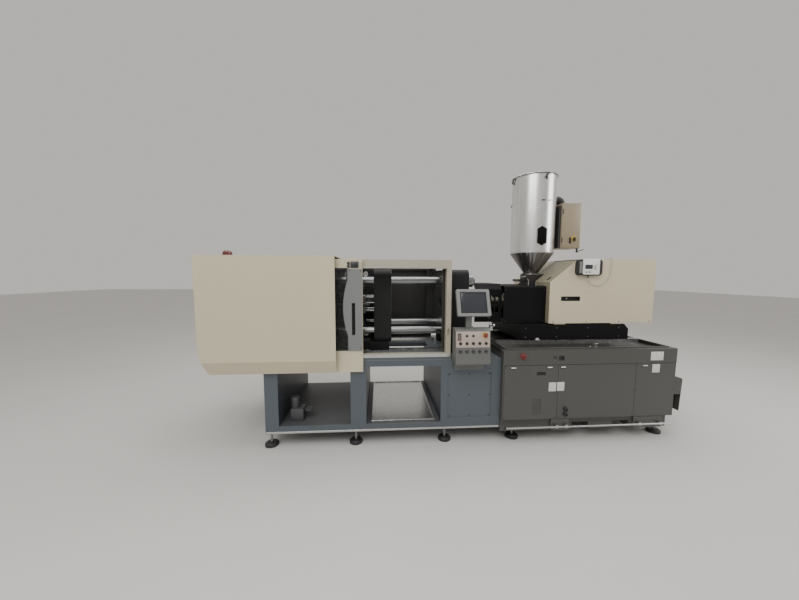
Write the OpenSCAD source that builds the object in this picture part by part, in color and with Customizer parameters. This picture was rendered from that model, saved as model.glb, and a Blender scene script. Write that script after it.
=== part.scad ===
// Horizontal all-electric injection moulding machine with a double toggle clamp.
// x runs along the machine from the clamp end to the injection end, y from the operator side to the
// back, z up from the floor. Inside place() x = 0 is the end of the clamp cover and y = 0 the front.

/* [Machine] */
// Length of the base, from the clamp cover's end to the base's right end
machine_l = 4430; // [4380:10:4700]
// Height of the mould centre and of the barrel above the floor
centre_z = 1300; // [1280:5:1330]
// Distance of the machine's centre plane from the front of the injection base
centre_y = 600; // [590:5:640]
// Height of the base frames' underside above the floor
foot_h = 110; // [90:5:130]
// Thickness of the painted sheet steel covers
sheet_t = 4; // [2:0.5:6]

/* [Clamp unit] */
// Height of the clamp base
clamp_base_top = 820; // [800:5:830]
// Distance from the front of the injection base back to the front of the clamp base
clamp_base_y = 50; // [50:5:70]
// Height and width of the three platens
platen_size = 720; // [700:10:740]
// Thickness of the fixed platen
fixed_t = 210; // [180:5:230]
// Thickness of the moving platen
moving_t = 170; // [150:5:190]
// Thickness of the tail platen
tail_t = 180; // [150:5:200]
// Mould face of the fixed platen
fixed_x = 2220; // [2200:5:2240]
// Thickness of the mould that the clamp is set for
mould_t = 205; // [150:5:240]
// Opening stroke of the moving platen
stroke = 350; // [300:5:370]
// Tie bar diameter
tie_d = 75; // [60:1:85]
// Tie bar spacing across the machine, centre to centre
tie_span_y = 540; // [520:5:560]
// Tie bar spacing in height, centre to centre
tie_span_z = 500; // [480:5:520]
// Threaded end of the tie bars behind the tail platen, for thicker moulds
tie_spare = 265; // [240:5:290]
// Height of a toggle's outer pivots above or below the centre line
toggle_rise = 310; // [306:1:314]
// Length of every toggle link, pin to pin
link_l = 270; // [262:1:278]
// Length of a crosshead link, pin to pin
crosshead_link_l = 220; // [215:1:225]
// Toggle pin diameter
pin_d = 44; // [36:1:50]
// Radius of the eyes at the link ends and of the platen lugs
eye_r = 44; // [40:1:48]
// Diameter of the clamp ball screw
clamp_screw_d = 50; // [40:1:56]
// Radius of the locating hole for the mould's ring
locating_r = 50; // [40:1:60]
// Radius of a mould bolt hole
mould_bolt_r = 8; // [6:0.5:10]
// Spacing of the mould bolt holes in height, and across for the wide set
mould_bolt_pitch = 350; // [300:10:370]
// Spacing across the machine of the narrow set of mould bolt holes
mould_bolt_narrow = 140; // [120:10:200]

/* [Covers and doors] */
// Length of the clamp cover
cover_l = 1166; // [1140:2:1180]
// Height of the top of the clamp cover
cover_top = 1768; // [1750:2:1790]
// Height at which the clamp cover's skirt begins to lean inwards
skirt_z = 850; // [830:5:870]
// Height of the lower edge of the clamp cover and of the safety doors
cover_bottom = 727; // [715:1:735]
// Depth that the clamp cover stands out in front of the injection base
cover_out = 50; // [45:1:60]
// Length of a safety door
door_l = 1030; // [1000:5:1050]
// Right edge of the open front safety door
door_edge_x = 1399; // [1390:1:1405]
// Travel of a safety door
door_travel = 790; // [760:5:795]
// Thickness of a safety door
door_t = 28; // [20:1:30]
// Right side of the door frame
frame_end_x = 2210; // [2205:1:2215]

/* [Injection unit] */
// Height of the top of the injection base
injection_base_top = 905; // [890:5:915]
// Left end of the injection base
injection_base_x = 2700; // [2680:5:2720]
// Centre of the hopper along the machine
hopper_x = 3243; // [3230:1:3256]
// Diameter of the barrel
barrel_d = 110; // [90:1:120]
// Diameter of the plasticizing screw
screw_d = 40; // [30:1:48]
// Left end of the injection cover
injection_cover_x = 3243; // [3237:1:3249]
// Length of the injection cover
injection_cover_l = 1108; // [1085:1:1135]
// Width of the injection cover
injection_cover_w = 780; // [760:5:800]
// Travel of the injection carriage
carriage_travel = 280; // [200:10:300]
// Injection stroke of the screw
injection_stroke = 140; // [100:5:160]
// Radius of the hopper
hopper_r = 223; // [205:1:235]
// Height of the top of the hopper's drum
hopper_top = 2640; // [2560:10:2720]

/* [Control panel] */
// Width of the control box
panel_w = 316; // [306:1:330]
// Left side of the control box
panel_x = 2222; // [2218:1:2240]
// Backward tilt of the screen in degrees
screen_tilt = 20; // [5:1:25]

/* [Hidden] */
$fn = 64;

cream = "#d8d4bf";
machine_grey = "#5c5e60";
dark_grey = "#3a3b3d";
black_paint = "#161616";
bright_steel = "#c9ccd0";
cast_grey = "#4a4d50";
panel_grey = "#8b8d8c";

run_gap = 0.05; // radial clearance of a shaft in its bore
slide_gap = 0.4; // clearance under a shoe or beside a plate that slides
rim = 12; // overlap that fuses two shapes of one solid

fan_housing_l = 160;
overall_right = machine_l + fan_housing_l;
panel_front = -110;
x_mid = overall_right / 2;
y_mid = (panel_front + 2 * centre_y + cover_out) / 2;
back_y = 2 * centre_y;

tie_y = tie_span_y / 2;
tie_z = tie_span_z / 2;
half_platen = platen_size / 2;
moving_face_x = fixed_x - mould_t - stroke;
moving_back_x = moving_face_x - moving_t;
lug_reach = 90;
front_pivot_x = moving_back_x - lug_reach;
fold_angle = acos(1 - stroke / (2 * link_l));
folded_l = 2 * link_l * cos(fold_angle);
tail_pivot_x = front_pivot_x - folded_l;
tail_face_x = tail_pivot_x - lug_reach;
tail_back_x = tail_face_x - tail_t;
knee_x = tail_pivot_x + folded_l / 2;
knee_rise = toggle_rise - link_l * sin(fold_angle);
// The crosshead links stand upright when the clamp is locked.
crosshead_rise = toggle_rise - crosshead_link_l;
open_offset = sqrt(pow(crosshead_link_l, 2) - pow(crosshead_rise - knee_rise, 2));
crosshead_x = knee_x - open_offset;
crosshead_travel = tail_pivot_x + link_l - crosshead_x;
link_angle = asin((crosshead_rise - knee_rise) / crosshead_link_l);

// Where each layer of the toggle lies beside the centre plane, as [inner face, thickness]
crosshead_layer = [20, 35];
front_layer = [60, 40];
rear_layer = [105, 40];
lug_t = 19;

rod_y = 190;
rod_r = 18;
window_z0 = 930;
window_z1 = 1660;
frame_beam_z = 1664;
frame_beam_h = 80;
rail_h = 56;
frame_t = 60;
opening_z0 = 211;
opening_z1 = 762;
opening_xs = [[624, 1279], [1424, 2125]];
base_left_x = 503;
band_z = 766;
plinth_z = 233;
carriage_z0 = 957;
carriage_z1 = 1114;
carriage_x0 = 2965;
carriage_x1 = 4094;
rail_span = 520;
rail_rise = 30;
tray_x0 = injection_base_x + 50;
tray_depth = 20;
block_x0 = hopper_x - 92;
block_l = 170;
pusher_x = 3535;
pusher_t = 80;
pusher_hub_l = 200;
rear_plate_x = 4040;
rear_plate_t = 60;
injection_rod_y = 190;
injection_screw_r = 19;
hopper_bottom = 1845;
hopper_neck = 1632;
gate_z = 1520;
gate_h = 100;
screen_z = 1235;
screen_h = 248;
screen_w = 302;
screen_y = -28;
box_z = 803;
box_h = 324;
button_d = 22;
button_travel = 4;
foot_xs = [base_left_x + 27, 1320, 2180, injection_base_x + 160, machine_l - 60];
base_mid_x = (injection_base_x + machine_l) / 2;
cover_seams = [injection_base_x + 12, injection_base_x + 538, machine_l - 412, machine_l - 2];
dryer_w = 216;
dryer_d = 200;
duct_w = 420;
fan_housing_w = 380;

module place() {
    translate([-x_mid, -y_mid, 0]) children();
}

// A block given by its lowest corner and its size.
module block(corner, size) {
    translate(corner) cube(size);
}

// A cylinder along +x that starts at a point.
module rod_x(start, length, radius) {
    translate(start) rotate([0, 90, 0]) cylinder(h = length, r = radius);
}

// A cylinder along +y that starts at a point.
module rod_y(start, length, radius) {
    translate(start) rotate([-90, 0, 0]) cylinder(h = length, r = radius);
}

// A profile in x and z, extruded along +y from y0.
module slab_y(y0, thickness) {
    translate([0, y0 + thickness, 0]) rotate([90, 0, 0]) linear_extrude(thickness) children();
}

// A profile in y and z, extruded along +x from x0.
module slab_x(x0, thickness) {
    translate([x0, 0, 0]) rotate([90, 0, 90]) linear_extrude(thickness) children();
}

// A rectangle with rounded corners, from its lowest corner.
module rounded_rect(corner, size, radius) {
    translate(corner + [radius, radius]) offset(r = radius)
        square([size[0] - 2 * radius, size[1] - 2 * radius]);
}

// Copies at the four tie bar centres.
module at_tie_bars() {
    for (sy = [-1, 1], sz = [-1, 1])
        translate([0, centre_y + sy * tie_y, centre_z + sz * tie_z]) children();
}

// Copies at the mould bolt holes: a wide and a narrow set of four.
module at_mould_bolts() {
    for (across = [mould_bolt_pitch, mould_bolt_narrow], sy = [-1, 1], sz = [-1, 1])
        translate([0, centre_y + sy * across / 2, centre_z + sz * mould_bolt_pitch / 2]) children();
}

module clamp_base() {
    depth = back_y - 2 * clamp_base_y;
    length = injection_base_x - base_left_x;
    shaft_w = 400;
    color(machine_grey) place() difference() {
        block([base_left_x, clamp_base_y, foot_h + 32], [length, depth, clamp_base_top - foot_h - 32]);
        for (o = opening_xs) {
            block([o[0], clamp_base_y - 1, opening_z0],
                [o[1] - o[0], depth + 2, opening_z1 - opening_z0]);
        }
        // drop-out shaft under the mould
        block([opening_xs[1][0] + 120, centre_y - shaft_w / 2, opening_z1 - 1],
            [opening_xs[1][1] - opening_xs[1][0] - 160, shaft_w, clamp_base_top - opening_z1 + 2]);
        // shallow panel recess in the wide column under the control box
        block([2190, clamp_base_y - 1, 250], [420, 7, 440]);
        block([2190, clamp_base_y + depth - 6, 250], [420, 7, 440]);
    }
}

module injection_base() {
    x0 = injection_base_x + 0.3;
    length = machine_l - x0;
    plinth_in = 35;
    color(machine_grey) place() difference() {
        union() {
            block([x0, plinth_in, foot_h], [length - plinth_in, back_y - 2 * plinth_in,
                plinth_z - foot_h + 1]);
            block([x0, sheet_t, plinth_z], [length, back_y - 2 * sheet_t, band_z - plinth_z]);
            block([x0, 0, band_z], [length, back_y, injection_base_top - band_z]);
        }
        // drip tray sunk in the top
        block([tray_x0, 60, injection_base_top - tray_depth],
            [machine_l - 50 - tray_x0, back_y - 120, tray_depth + 1]);
        // socket in the upper band
        block([3240, -1, 808], [52, 12, 44]);
        // fork lift pockets through the plinth
        for (x = [base_mid_x - 145, base_mid_x + 275])
            block([x, plinth_in - 1, foot_h - 1], [170, back_y - 2 * plinth_in + 2, 70]);
    }
}

module cabinet_covers() {
    gap = 3;
    bottom = plinth_z + 3;
    height = band_z - bottom - 4;
    cover_depth = sheet_t - 0.3;
    color(machine_grey) place() for (side = [0, 1]) {
        for (i = [0:2]) {
            x0 = cover_seams[i] + gap / 2;
            length = cover_seams[i + 1] - cover_seams[i] - gap;
            y0 = side == 0 ? 0 : back_y - cover_depth;
            difference() {
                block([x0, y0, bottom], [length, cover_depth, height]);
                // finger slots of the latches near the upper edge
                for (x = [x0 + 60, x0 + length - 110])
                    block([x, y0 - 1, bottom + height - 34], [50, cover_depth + 2, 14]);
                if (i == 0)
                    for (row = [0:6])
                        block([x0 + 285, y0 - 1, 290 + row * 22], [80, cover_depth + 2, 10]);
            }
        }
    }
}

module levelling_feet() {
    pad_r = 62;
    pad_h = 34;
    stud_r = 12;
    inset = 75;
    color(dark_grey) place() for (x = foot_xs, y = [clamp_base_y + inset, back_y - clamp_base_y - inset]) {
        under = x < injection_base_x ? foot_h + 32 : foot_h;
        translate([x, y, 0]) rotate_extrude() polygon([
            [0, 0], [pad_r, 0], [pad_r, pad_h - 12], [pad_r - 16, pad_h], [stud_r, pad_h],
            [stud_r, under], [0, under]
        ]);
        translate([x, y, under - 26]) difference() {
            cylinder(h = 18, r = 26, $fn = 6);
            translate([0, 0, -1]) cylinder(h = 20, r = stud_r + run_gap);
        }
    }
}

module slide_ways() {
    way_w = 70;
    way_h = 40;
    color(bright_steel) place() {
        for (s = [-1, 1]) {
            block([640, centre_y + s * tie_y - way_w / 2, clamp_base_top],
                [fixed_x - 660, way_w, way_h]);
            block([tray_x0 + 10, centre_y + s * rail_span / 2 - 22, injection_base_top - tray_depth],
                [machine_l - 110 - tray_x0 - 10, 44, tray_depth + rail_rise]);
        }
    }
}

// Bolt holes, as blind threaded holes from a platen's mould face, where dir is the way out.
module mould_bolt_holes(face_x, dir) {
    depth = 40;
    at_mould_bolts() rod_x([dir > 0 ? face_x - depth : face_x - 1, 0, 0], depth + 1, mould_bolt_r);
}

module fixed_platen() {
    seat = 50;
    cone_r = 105;
    foot_w = 120;
    color(cast_grey) place() difference() {
        union() {
            slab_x(fixed_x, fixed_t) rounded_rect(
                [centre_y - half_platen, centre_z - half_platen], [platen_size, platen_size], 60);
            for (s = [-1, 1])
                block([fixed_x + 20, centre_y + s * tie_y - foot_w / 2, clamp_base_top],
                    [fixed_t - 20, foot_w, centre_z - half_platen - clamp_base_top + rim]);
        }
        at_tie_bars() rod_x([fixed_x - 1, 0, 0], fixed_t + 2, tie_d / 2 + run_gap);
        rod_x([fixed_x - 1, centre_y, centre_z], seat + 1, locating_r);
        translate([fixed_x + seat - 0.5, centre_y, centre_z]) rotate([0, 90, 0])
            cylinder(h = fixed_t - seat + 1, r1 = locating_r - 12, r2 = cone_r);
        mould_bolt_holes(fixed_x, -1);
    }
    // hinge rod of the guard over the nozzle
    color(bright_steel) place() rod_x([purge_hinge[0] - rim, purge_hinge[1], purge_hinge[2]],
        rim + 82 + purge_l + 6, purge_pin_r);
}

module tie_bars() {
    left = tail_back_x - 60 - tie_spare;
    right = fixed_x + fixed_t + 72;
    nut_t = 56;
    color(bright_steel) place() at_tie_bars() {
        rod_x([left, 0, 0], right - left, tie_d / 2);
        difference() {
            rod_x([fixed_x + fixed_t, 0, 0], nut_t, tie_d * 0.86);
            rod_x([fixed_x + fixed_t - 1, 0, 0], nut_t + 2, tie_d / 2 + run_gap);
        }
    }
}

// The tail platen's back and the frame of the clamp drive.
module tail_platen() {
    open_y = 222;
    open_z = 140;
    shoe_h = centre_z - half_platen - clamp_base_top - 40 - slide_gap;
    color(cast_grey) place() difference() {
        union() {
            slab_x(tail_back_x, tail_t) rounded_rect(
                [centre_y - half_platen, centre_z - half_platen], [platen_size, platen_size], 60);
            toggle_lugs(tail_pivot_x, tail_face_x - rim, rear_layer);
            for (s = [-1, 1])
                block([tail_back_x + 10, centre_y + s * tie_y - 60,
                    centre_z - half_platen - shoe_h], [tail_t - 20, 120, shoe_h + rim]);
        }
        at_tie_bars() rod_x([tail_back_x - 1, 0, 0], tail_t + 2, tie_d / 2 + run_gap);
        block([tail_back_x - 1, centre_y - open_y, centre_z - open_z],
            [tail_t + 2, 2 * open_y, 2 * open_z]);
    }
    color(bright_steel) place() toggle_pins(tail_pivot_x, rear_layer);
}

// Pairs of lugs for one layer of links, on both sides of the centre plane, above and below.
module toggle_lugs(pivot_x, root_x, layer) {
    inner = [layer[0] - lug_t - 1, layer[0] + layer[1] + 1];
    toward = root_x < pivot_x ? -1 : 1;
    for (sy = [-1, 1], sz = [-1, 1], start = inner) {
        y0 = sy > 0 ? centre_y + start : centre_y - start - lug_t;
        slab_y(y0, lug_t) translate([pivot_x, centre_z + sz * toggle_rise]) {
            circle(r = eye_r);
            translate([toward > 0 ? 0 : root_x - pivot_x, -eye_r])
                square([abs(root_x - pivot_x), 2 * eye_r]);
        }
    }
}

// The pins through a set of lugs, one on each side, above and below.
module toggle_pins(pivot_x, layer) {
    length = layer[1] + 2 + 2 * lug_t;
    for (sy = [-1, 1], sz = [-1, 1])
        rod_y([pivot_x, sy > 0 ? centre_y + layer[0] - lug_t - 1
            : centre_y - layer[0] - layer[1] - lug_t - 1, centre_z + sz * toggle_rise],
            length, pin_d / 2);
}

module tail_nuts() {
    nut_t = 60;
    color(dark_grey) place() at_tie_bars() difference() {
        union() {
            rod_x([tail_back_x - nut_t, 0, 0], nut_t - slide_gap, tie_d * 0.84);
            rod_x([tail_back_x - nut_t + 8, 0, 0], 22, tie_d * 1.15);
        }
        rod_x([tail_back_x - nut_t - 1, 0, 0], nut_t + 2, tie_d / 2 + run_gap);
    }
}

housing_t = 40;
motor_l = 235;
motor_r = 135;
nut_r = 62;
screw_rear_x = tail_back_x - housing_t - motor_l - 40 - crosshead_travel;

// Hollow servo motor, its mounting plate over the tail platen's opening, and the crosshead's rods.
module clamp_motor() {
    plate_x = tail_back_x - housing_t;
    half_plate = 215;
    rod_l = crosshead_x - 50 + crosshead_travel + 12 - plate_x;
    fin_count = 20;
    color(dark_grey) place() difference() {
        union() {
            slab_x(plate_x, housing_t) rounded_rect([centre_y - half_plate - 15, centre_z - 160],
                [2 * half_plate + 30, 320], 30);
            rod_x([plate_x - motor_l, centre_y, centre_z], motor_l + 1, motor_r);
            for (i = [0:fin_count - 1])
                translate([plate_x - motor_l + 25, centre_y, centre_z])
                    rotate([i * 360 / fin_count, 0, 0]) translate([0, -3, motor_r - 2])
                        cube([motor_l - 55, 6, 14]);
            block([plate_x - motor_l + 30, centre_y - 70, centre_z + motor_r - 20], [110, 140, 80]);
        }
        rod_x([plate_x - motor_l - 1, centre_y, centre_z], motor_l + housing_t + 2,
            nut_r + run_gap);
    }
    color(bright_steel) place() for (s = [-1, 1])
        rod_x([tail_back_x - rim, centre_y + s * rod_y, centre_z], rod_l - housing_t + rim, rod_r);
}

// The nut that the motor turns. It carries the screw forwards and back.
module ball_nut() {
    length = motor_l + housing_t + 16;
    color(bright_steel) place() difference() {
        union() {
            rod_x([tail_back_x - housing_t - motor_l - 8, centre_y, centre_z], length, nut_r);
            rod_x([tail_back_x - housing_t - motor_l - 20, centre_y, centre_z], 18, nut_r + 26);
        }
        rod_x([tail_back_x - housing_t - motor_l - 21, centre_y, centre_z], length + 14,
            clamp_screw_d / 2 + run_gap);
        // spanner holes in the end flange
        for (a = [0:60:300])
            translate([0, centre_y, centre_z]) rotate([a, 0, 0])
                rod_x([tail_back_x - housing_t - motor_l - 21, 0, nut_r + 11], 9, 7);
    }
}

module crosshead() {
    ear_x = crosshead_x - 130;
    lug_in = crosshead_layer[0] - 2;
    lug_out = crosshead_layer[0] + crosshead_layer[1] + 2;
    color(cast_grey) place() difference() {
        union() {
            block([ear_x, centre_y - 75, centre_z - 125], [80, 150, 250]);
            block([ear_x, centre_y - rod_y - 26, centre_z - 36], [80, 2 * rod_y + 52, 72]);
            for (sz = [-1, 1], y0 = [-lug_out - 16, -lug_in, lug_out]) {
                lug_w = y0 == -lug_in ? 2 * lug_in : 16;
                slab_y(centre_y + y0, lug_w) translate([crosshead_x, centre_z + sz * crosshead_rise]) {
                    circle(r = 34);
                    translate([-60, -34]) square([60, 68]);
                }
            }
        }
        for (s = [-1, 1])
            rod_x([ear_x - 1, centre_y + s * rod_y, centre_z], 82, rod_r + run_gap);
    }
    color(bright_steel) place() for (sz = [-1, 1])
        rod_y([crosshead_x, centre_y - lug_out - 16, centre_z + sz * crosshead_rise],
            2 * lug_out + 32, pin_d / 2 - 4);
}

module clamp_ball_screw() {
    color(bright_steel) place()
        rod_x([screw_rear_x, centre_y, centre_z], crosshead_x - 130 - screw_rear_x,
            clamp_screw_d / 2);
}

// One link plate between two pins, drawn flat in x and z. The first pin is at the origin.
module link_profile(length, waist, bore_first, bore_last) {
    difference() {
        union() {
            circle(r = eye_r);
            translate([length, 0]) circle(r = eye_r);
            translate([0, -waist / 2]) square([length, waist]);
        }
        if (bore_first > 0) circle(r = bore_first);
        if (bore_last > 0) translate([length, 0]) circle(r = bore_last);
    }
}

// Both plates of one link, on the two sides of the centre plane.
module link_pair(layer, pivot, angle, length, waist) {
    place() for (sy = [-1, 1])
        slab_y(sy > 0 ? centre_y + layer[0] : centre_y - layer[0] - layer[1], layer[1])
            translate([pivot[0], centre_z + pivot[1]]) rotate(angle)
                link_profile(length, waist, pin_d / 2 + run_gap, 0);
}

module rear_links(sz) {
    color(cast_grey) link_pair(rear_layer, [tail_pivot_x, sz * toggle_rise],
        -sz * fold_angle, link_l, 62);
}

module front_links(sz) {
    color(cast_grey) link_pair(front_layer, [front_pivot_x, sz * toggle_rise],
        180 + sz * fold_angle, link_l, 62);
}

module crosshead_link(sz) {
    color(cast_grey) place() for (sy = [-1, 1])
        slab_y(sy > 0 ? centre_y + crosshead_layer[0]
            : centre_y - crosshead_layer[0] - crosshead_layer[1], crosshead_layer[1])
            translate([crosshead_x, centre_z + sz * crosshead_rise]) rotate(-sz * link_angle)
                difference() {
                    union() {
                        circle(r = 36);
                        translate([crosshead_link_l, 0]) circle(r = 40);
                        translate([0, -24]) square([crosshead_link_l, 48]);
                    }
                    circle(r = pin_d / 2 - 4 + run_gap);
                }
}

ejector_offsets = [[0, 0], [100, 70], [100, -70], [-100, 70], [-100, -70]];
ejector_guide_y = 135;
ejector_guide_r = 14;
ejector_travel = 90;
ejector_plate_t = 26;

module moving_platen() {
    shoe_h = centre_z - half_platen - clamp_base_top - 40 - slide_gap;
    color(cast_grey) place() difference() {
        union() {
            slab_x(moving_back_x, moving_t) rounded_rect(
                [centre_y - half_platen, centre_z - half_platen], [platen_size, platen_size], 60);
            toggle_lugs(front_pivot_x, moving_back_x + rim, front_layer);
            for (s = [-1, 1])
                block([moving_back_x - 40, centre_y + s * tie_y - 60,
                    centre_z - half_platen - shoe_h], [moving_t + 20, 120, shoe_h + rim]);
        }
        at_tie_bars() rod_x([moving_back_x - 1, 0, 0], moving_t + 2, tie_d / 2 + run_gap);
        mould_bolt_holes(moving_face_x, 1);
        for (o = ejector_offsets)
            rod_x([moving_back_x - 1, centre_y + o[0], centre_z + o[1]], moving_t + 2, 15);
    }
    color(bright_steel) place() toggle_pins(front_pivot_x, front_layer);
    color(bright_steel) place() for (s = [-1, 1])
        rod_x([moving_back_x - ejector_travel - ejector_plate_t - 14, centre_y + s * ejector_guide_y,
            centre_z], ejector_travel + ejector_plate_t + 14 + rim, ejector_guide_r);
}

module ejector_plate() {
    plate_x = moving_back_x - ejector_travel - ejector_plate_t - 2;
    half_w = ejector_guide_y + 30;
    color(bright_steel) place() {
        difference() {
            slab_x(plate_x, ejector_plate_t)
                rounded_rect([centre_y - half_w, centre_z - 100], [2 * half_w, 200], 18);
            for (s = [-1, 1])
                rod_x([plate_x - 1, centre_y + s * ejector_guide_y, centre_z],
                    ejector_plate_t + 2, ejector_guide_r + run_gap);
        }
        for (o = ejector_offsets)
            rod_x([plate_x + 1, centre_y + o[0], centre_z + o[1]], moving_face_x - 22 - plate_x - 1,
                13);
    }
}

module ejector_motor() {
    length = 190;
    color(dark_grey) place() {
        rod_x([moving_back_x - length, centre_y + 310, centre_z], length, 46);
        block([moving_back_x - length + 15, centre_y + 285, centre_z + 40], [70, 50, 34]);
    }
}

// Front edge of the long lid over the clamp unit
lid_y0 = 300;

// Front or rear half of the clamp housing: a face whose skirt leans inwards, a top return and end.
module clamp_cover_profile(inward) {
    out = cover_out;
    polygon([
        [-out, skirt_z], [-out, cover_top], [inward, cover_top], [inward, cover_top - sheet_t],
        [-out + sheet_t, cover_top - sheet_t], [-out + sheet_t, skirt_z + 1],
        [10 + sheet_t, cover_bottom + 1], [10 + sheet_t, cover_bottom], [10, cover_bottom]
    ]);
}

module front_clamp_cover() {
    color(cream) place() difference() {
        slab_x(sheet_t + 0.3, cover_l - sheet_t - 0.3) clamp_cover_profile(lid_y0 - 0.3);
        // the lower left corner is cut away with the end cover's slope
        slab_y(-cover_out - 20, 140) polygon([[-5, 940], [-5, 700], [62, 700], [sheet_t + 2, 940]]);
    }
}

module rear_clamp_cover() {
    color(cream) place() translate([0, 2 * centre_y, 0]) mirror([0, 1, 0]) difference() {
        slab_x(sheet_t + 0.3, cover_l + 200 - sheet_t - 0.3) clamp_cover_profile(lid_y0 - 0.3);
        slab_y(-cover_out - 20, 140) polygon([[-5, 940], [-5, 700], [62, 700], [sheet_t + 2, 940]]);
        for (row = [0:7])
            block([250, -cover_out - 1, 1480 + row * 26], [460, sheet_t + 2, 12]);
    }
}

// End wall of the clamp housing and the long lid along its middle.
module end_clamp_cover() {
    wall_top = cover_top - sheet_t - 1;
    inset = sheet_t + 0.6;
    color(cream) place() difference() {
        union() {
            block([0, -cover_out + inset, cover_bottom + 213],
                [sheet_t, back_y + 2 * cover_out - 2 * inset, wall_top - cover_bottom - 213]);
            slab_y(10 + inset, back_y - 20 - 2 * inset) polygon([
                [0, cover_bottom + 213], [sheet_t, cover_bottom + 213],
                [60 + sheet_t, cover_bottom], [60, cover_bottom]
            ]);
            slab_y(lid_y0, back_y - 2 * lid_y0) polygon([
                [0, wall_top - 2], [0, cover_top], [cover_l, cover_top],
                [cover_l, cover_top - sheet_t], [sheet_t, cover_top - sheet_t],
                [sheet_t, wall_top - 2]
            ]);
        }
        for (row = [0:9])
            block([-1, 330, 1150 + row * 30], [sheet_t + 2, 540, 12]);
    }
}

// Posts, beams and rails of the mould area, with the arch over the mould.
module door_frame() {
    left = base_left_x + 20;
    y0 = clamp_base_y;
    post_w = 46;
    color(cream) place() difference() {
        union() {
            for (front = [true, false]) {
                y = front ? y0 : back_y - y0 - frame_t;
                for (x = [left, frame_end_x - post_w])
                    block([x, y, clamp_base_top], [post_w, frame_t, door_top - clamp_base_top]);
                block([left, y, frame_beam_z], [frame_end_x - left, frame_t, frame_beam_h]);
                block([left, y, clamp_base_top], [frame_end_x - left, frame_t, rail_h]);
                // blocks that carry the covers' top sheets, inside the door's hangers
                for (x = [left + 60, left + 330, cover_l - 60])
                    block([x, front ? y + frame_t - 24 : y, door_top - 1],
                        [40, 24, cover_top - sheet_t - 0.3 - door_top + 1]);
            }
            // cross ties between front and back, and the rest for the long lid
            for (x = [left, frame_end_x - post_w])
                block([x, y0 + 10, frame_beam_z + 14], [post_w, back_y - 2 * y0 - 20, 50]);
            block([left, centre_y - 60, frame_beam_z + 60],
                [post_w, 120, cover_top - sheet_t - 0.3 - frame_beam_z - 60]);
        }
        // narrow slot in each post for the door's lock
        block([frame_end_x - post_w + 14, y0 - 1, 1050], [16, 20, 60]);
        block([frame_end_x - post_w + 14, back_y - y0 - 19, 1050], [16, 20, 60]);
    }
    color(cream) place() for (y = [y0 + frame_t + 20, back_y - y0 - frame_t - 28])
        block([2142, y, 903], [46, 8, frame_beam_z - 903 + 20]);
}

door_y = clamp_base_y - 4 - door_t;
door_top = frame_beam_z + frame_beam_h;
door_pillar_w = 134;
door_stile_w = 70;
pull_w = 30;
pull_h = 290;
pull_z = 1066;
pull_from_edge = 96;

// Hangers that run on the frame's beam and pads that slide on its lower rail, from a door's left
// edge. The frame lies on the +y side of the door.
module door_runners(x0, y0) {
    for (x = [x0 + 230, x0 + door_l - 110]) {
        block([x, y0 + door_t - 8, door_top - 30], [60, 8, 30 + slide_gap + 8]);
        block([x, y0 + door_t - 8, door_top + slide_gap], [60, 40, 8]);
        block([x, y0 + door_t - 1, clamp_base_top + 10], [60, 5 - slide_gap, 30]);
    }
}

module front_door() {
    x0 = door_edge_x - door_l;
    color(cream) place() difference() {
        union() {
            block([x0, door_y, cover_bottom], [door_l, door_t, door_top - cover_bottom]);
            door_runners(x0, door_y);
        }
        block([x0 + door_stile_w, door_y - 1, window_z0],
            [door_l - door_stile_w - door_pillar_w, door_t + 2, window_z1 - window_z0]);
        block([door_edge_x - pull_from_edge, door_y - 1, pull_z], [pull_w, 17, pull_h]);
    }
}

// Grey moulded plate on the door's leading edge, with its bow and the long finger recess.
module door_handle_panel() {
    plate_t = 9;
    right = door_edge_x - 4;
    z0 = cover_bottom + 198;
    z1 = door_top - 24;
    bow_z = [1060, 1560];
    bow = 42;
    half = (bow_z[1] - bow_z[0]) / 2;
    bow_r = (half * half + bow * bow) / (2 * bow);
    color(panel_grey) place() difference() {
        slab_y(door_y - plate_t - 0.3, plate_t) difference() {
            union() {
                translate([right - 126, z0]) square([126, z1 - z0]);
                intersection() {
                    translate([right - 126 - bow + bow_r, bow_z[0] + half]) circle(r = bow_r, $fn = 160);
                    translate([right - 126 - bow - 1, bow_z[0]]) square([bow + 40, 2 * half]);
                }
            }
            translate([door_edge_x - pull_from_edge, pull_z]) square([pull_w, pull_h]);
        }
    }
}

module front_door_window() {
    play = 0.3;
    color([0.5, 0.52, 0.5, 0.35]) place()
        block([door_edge_x - door_l + door_stile_w + play, door_y + 10, window_z0 + play],
            [door_l - door_stile_w - door_pillar_w - 2 * play, 5, window_z1 - window_z0 - 2 * play]);
}

rear_door_x = door_edge_x + door_travel - door_l;

// Plain door at the back, closed, with pressed ribs and a pull at its free edge.
module rear_door() {
    color(cream) place() translate([0, back_y, 0]) mirror([0, 1, 0]) difference() {
        union() {
            block([rear_door_x, door_y, cover_bottom], [door_l, door_t, door_top - cover_bottom]);
            door_runners(rear_door_x, door_y);
        }
        for (row = [0:3])
            block([rear_door_x + 150, door_y - 1, 980 + row * 170], [door_l - 300, 5, 90]);
        block([rear_door_x + door_l - pull_from_edge, door_y - 1, pull_z], [pull_w, 17, pull_h]);
    }
}

module base_pipe() {
    y = -14;
    z = 160;
    left = injection_base_x + 40;
    right = machine_l - 20;
    color(bright_steel) place() {
        rod_x([left, y, z], right - left, 9);
        for (b = [[injection_base_x + 500, 181], [machine_l - 384, 300]]) difference() {
            union() {
                block([b[0], 33 - 12, foot_h], [b[1], 14, 112]);
                for (x = [b[0] + 30, b[0] + b[1] - 54])
                    block([x, y, z - 16], [24, 36, 32]);
            }
            rod_x([b[0] - 1, y, z], b[1] + 2, 9 + run_gap);
        }
    }
}

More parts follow.
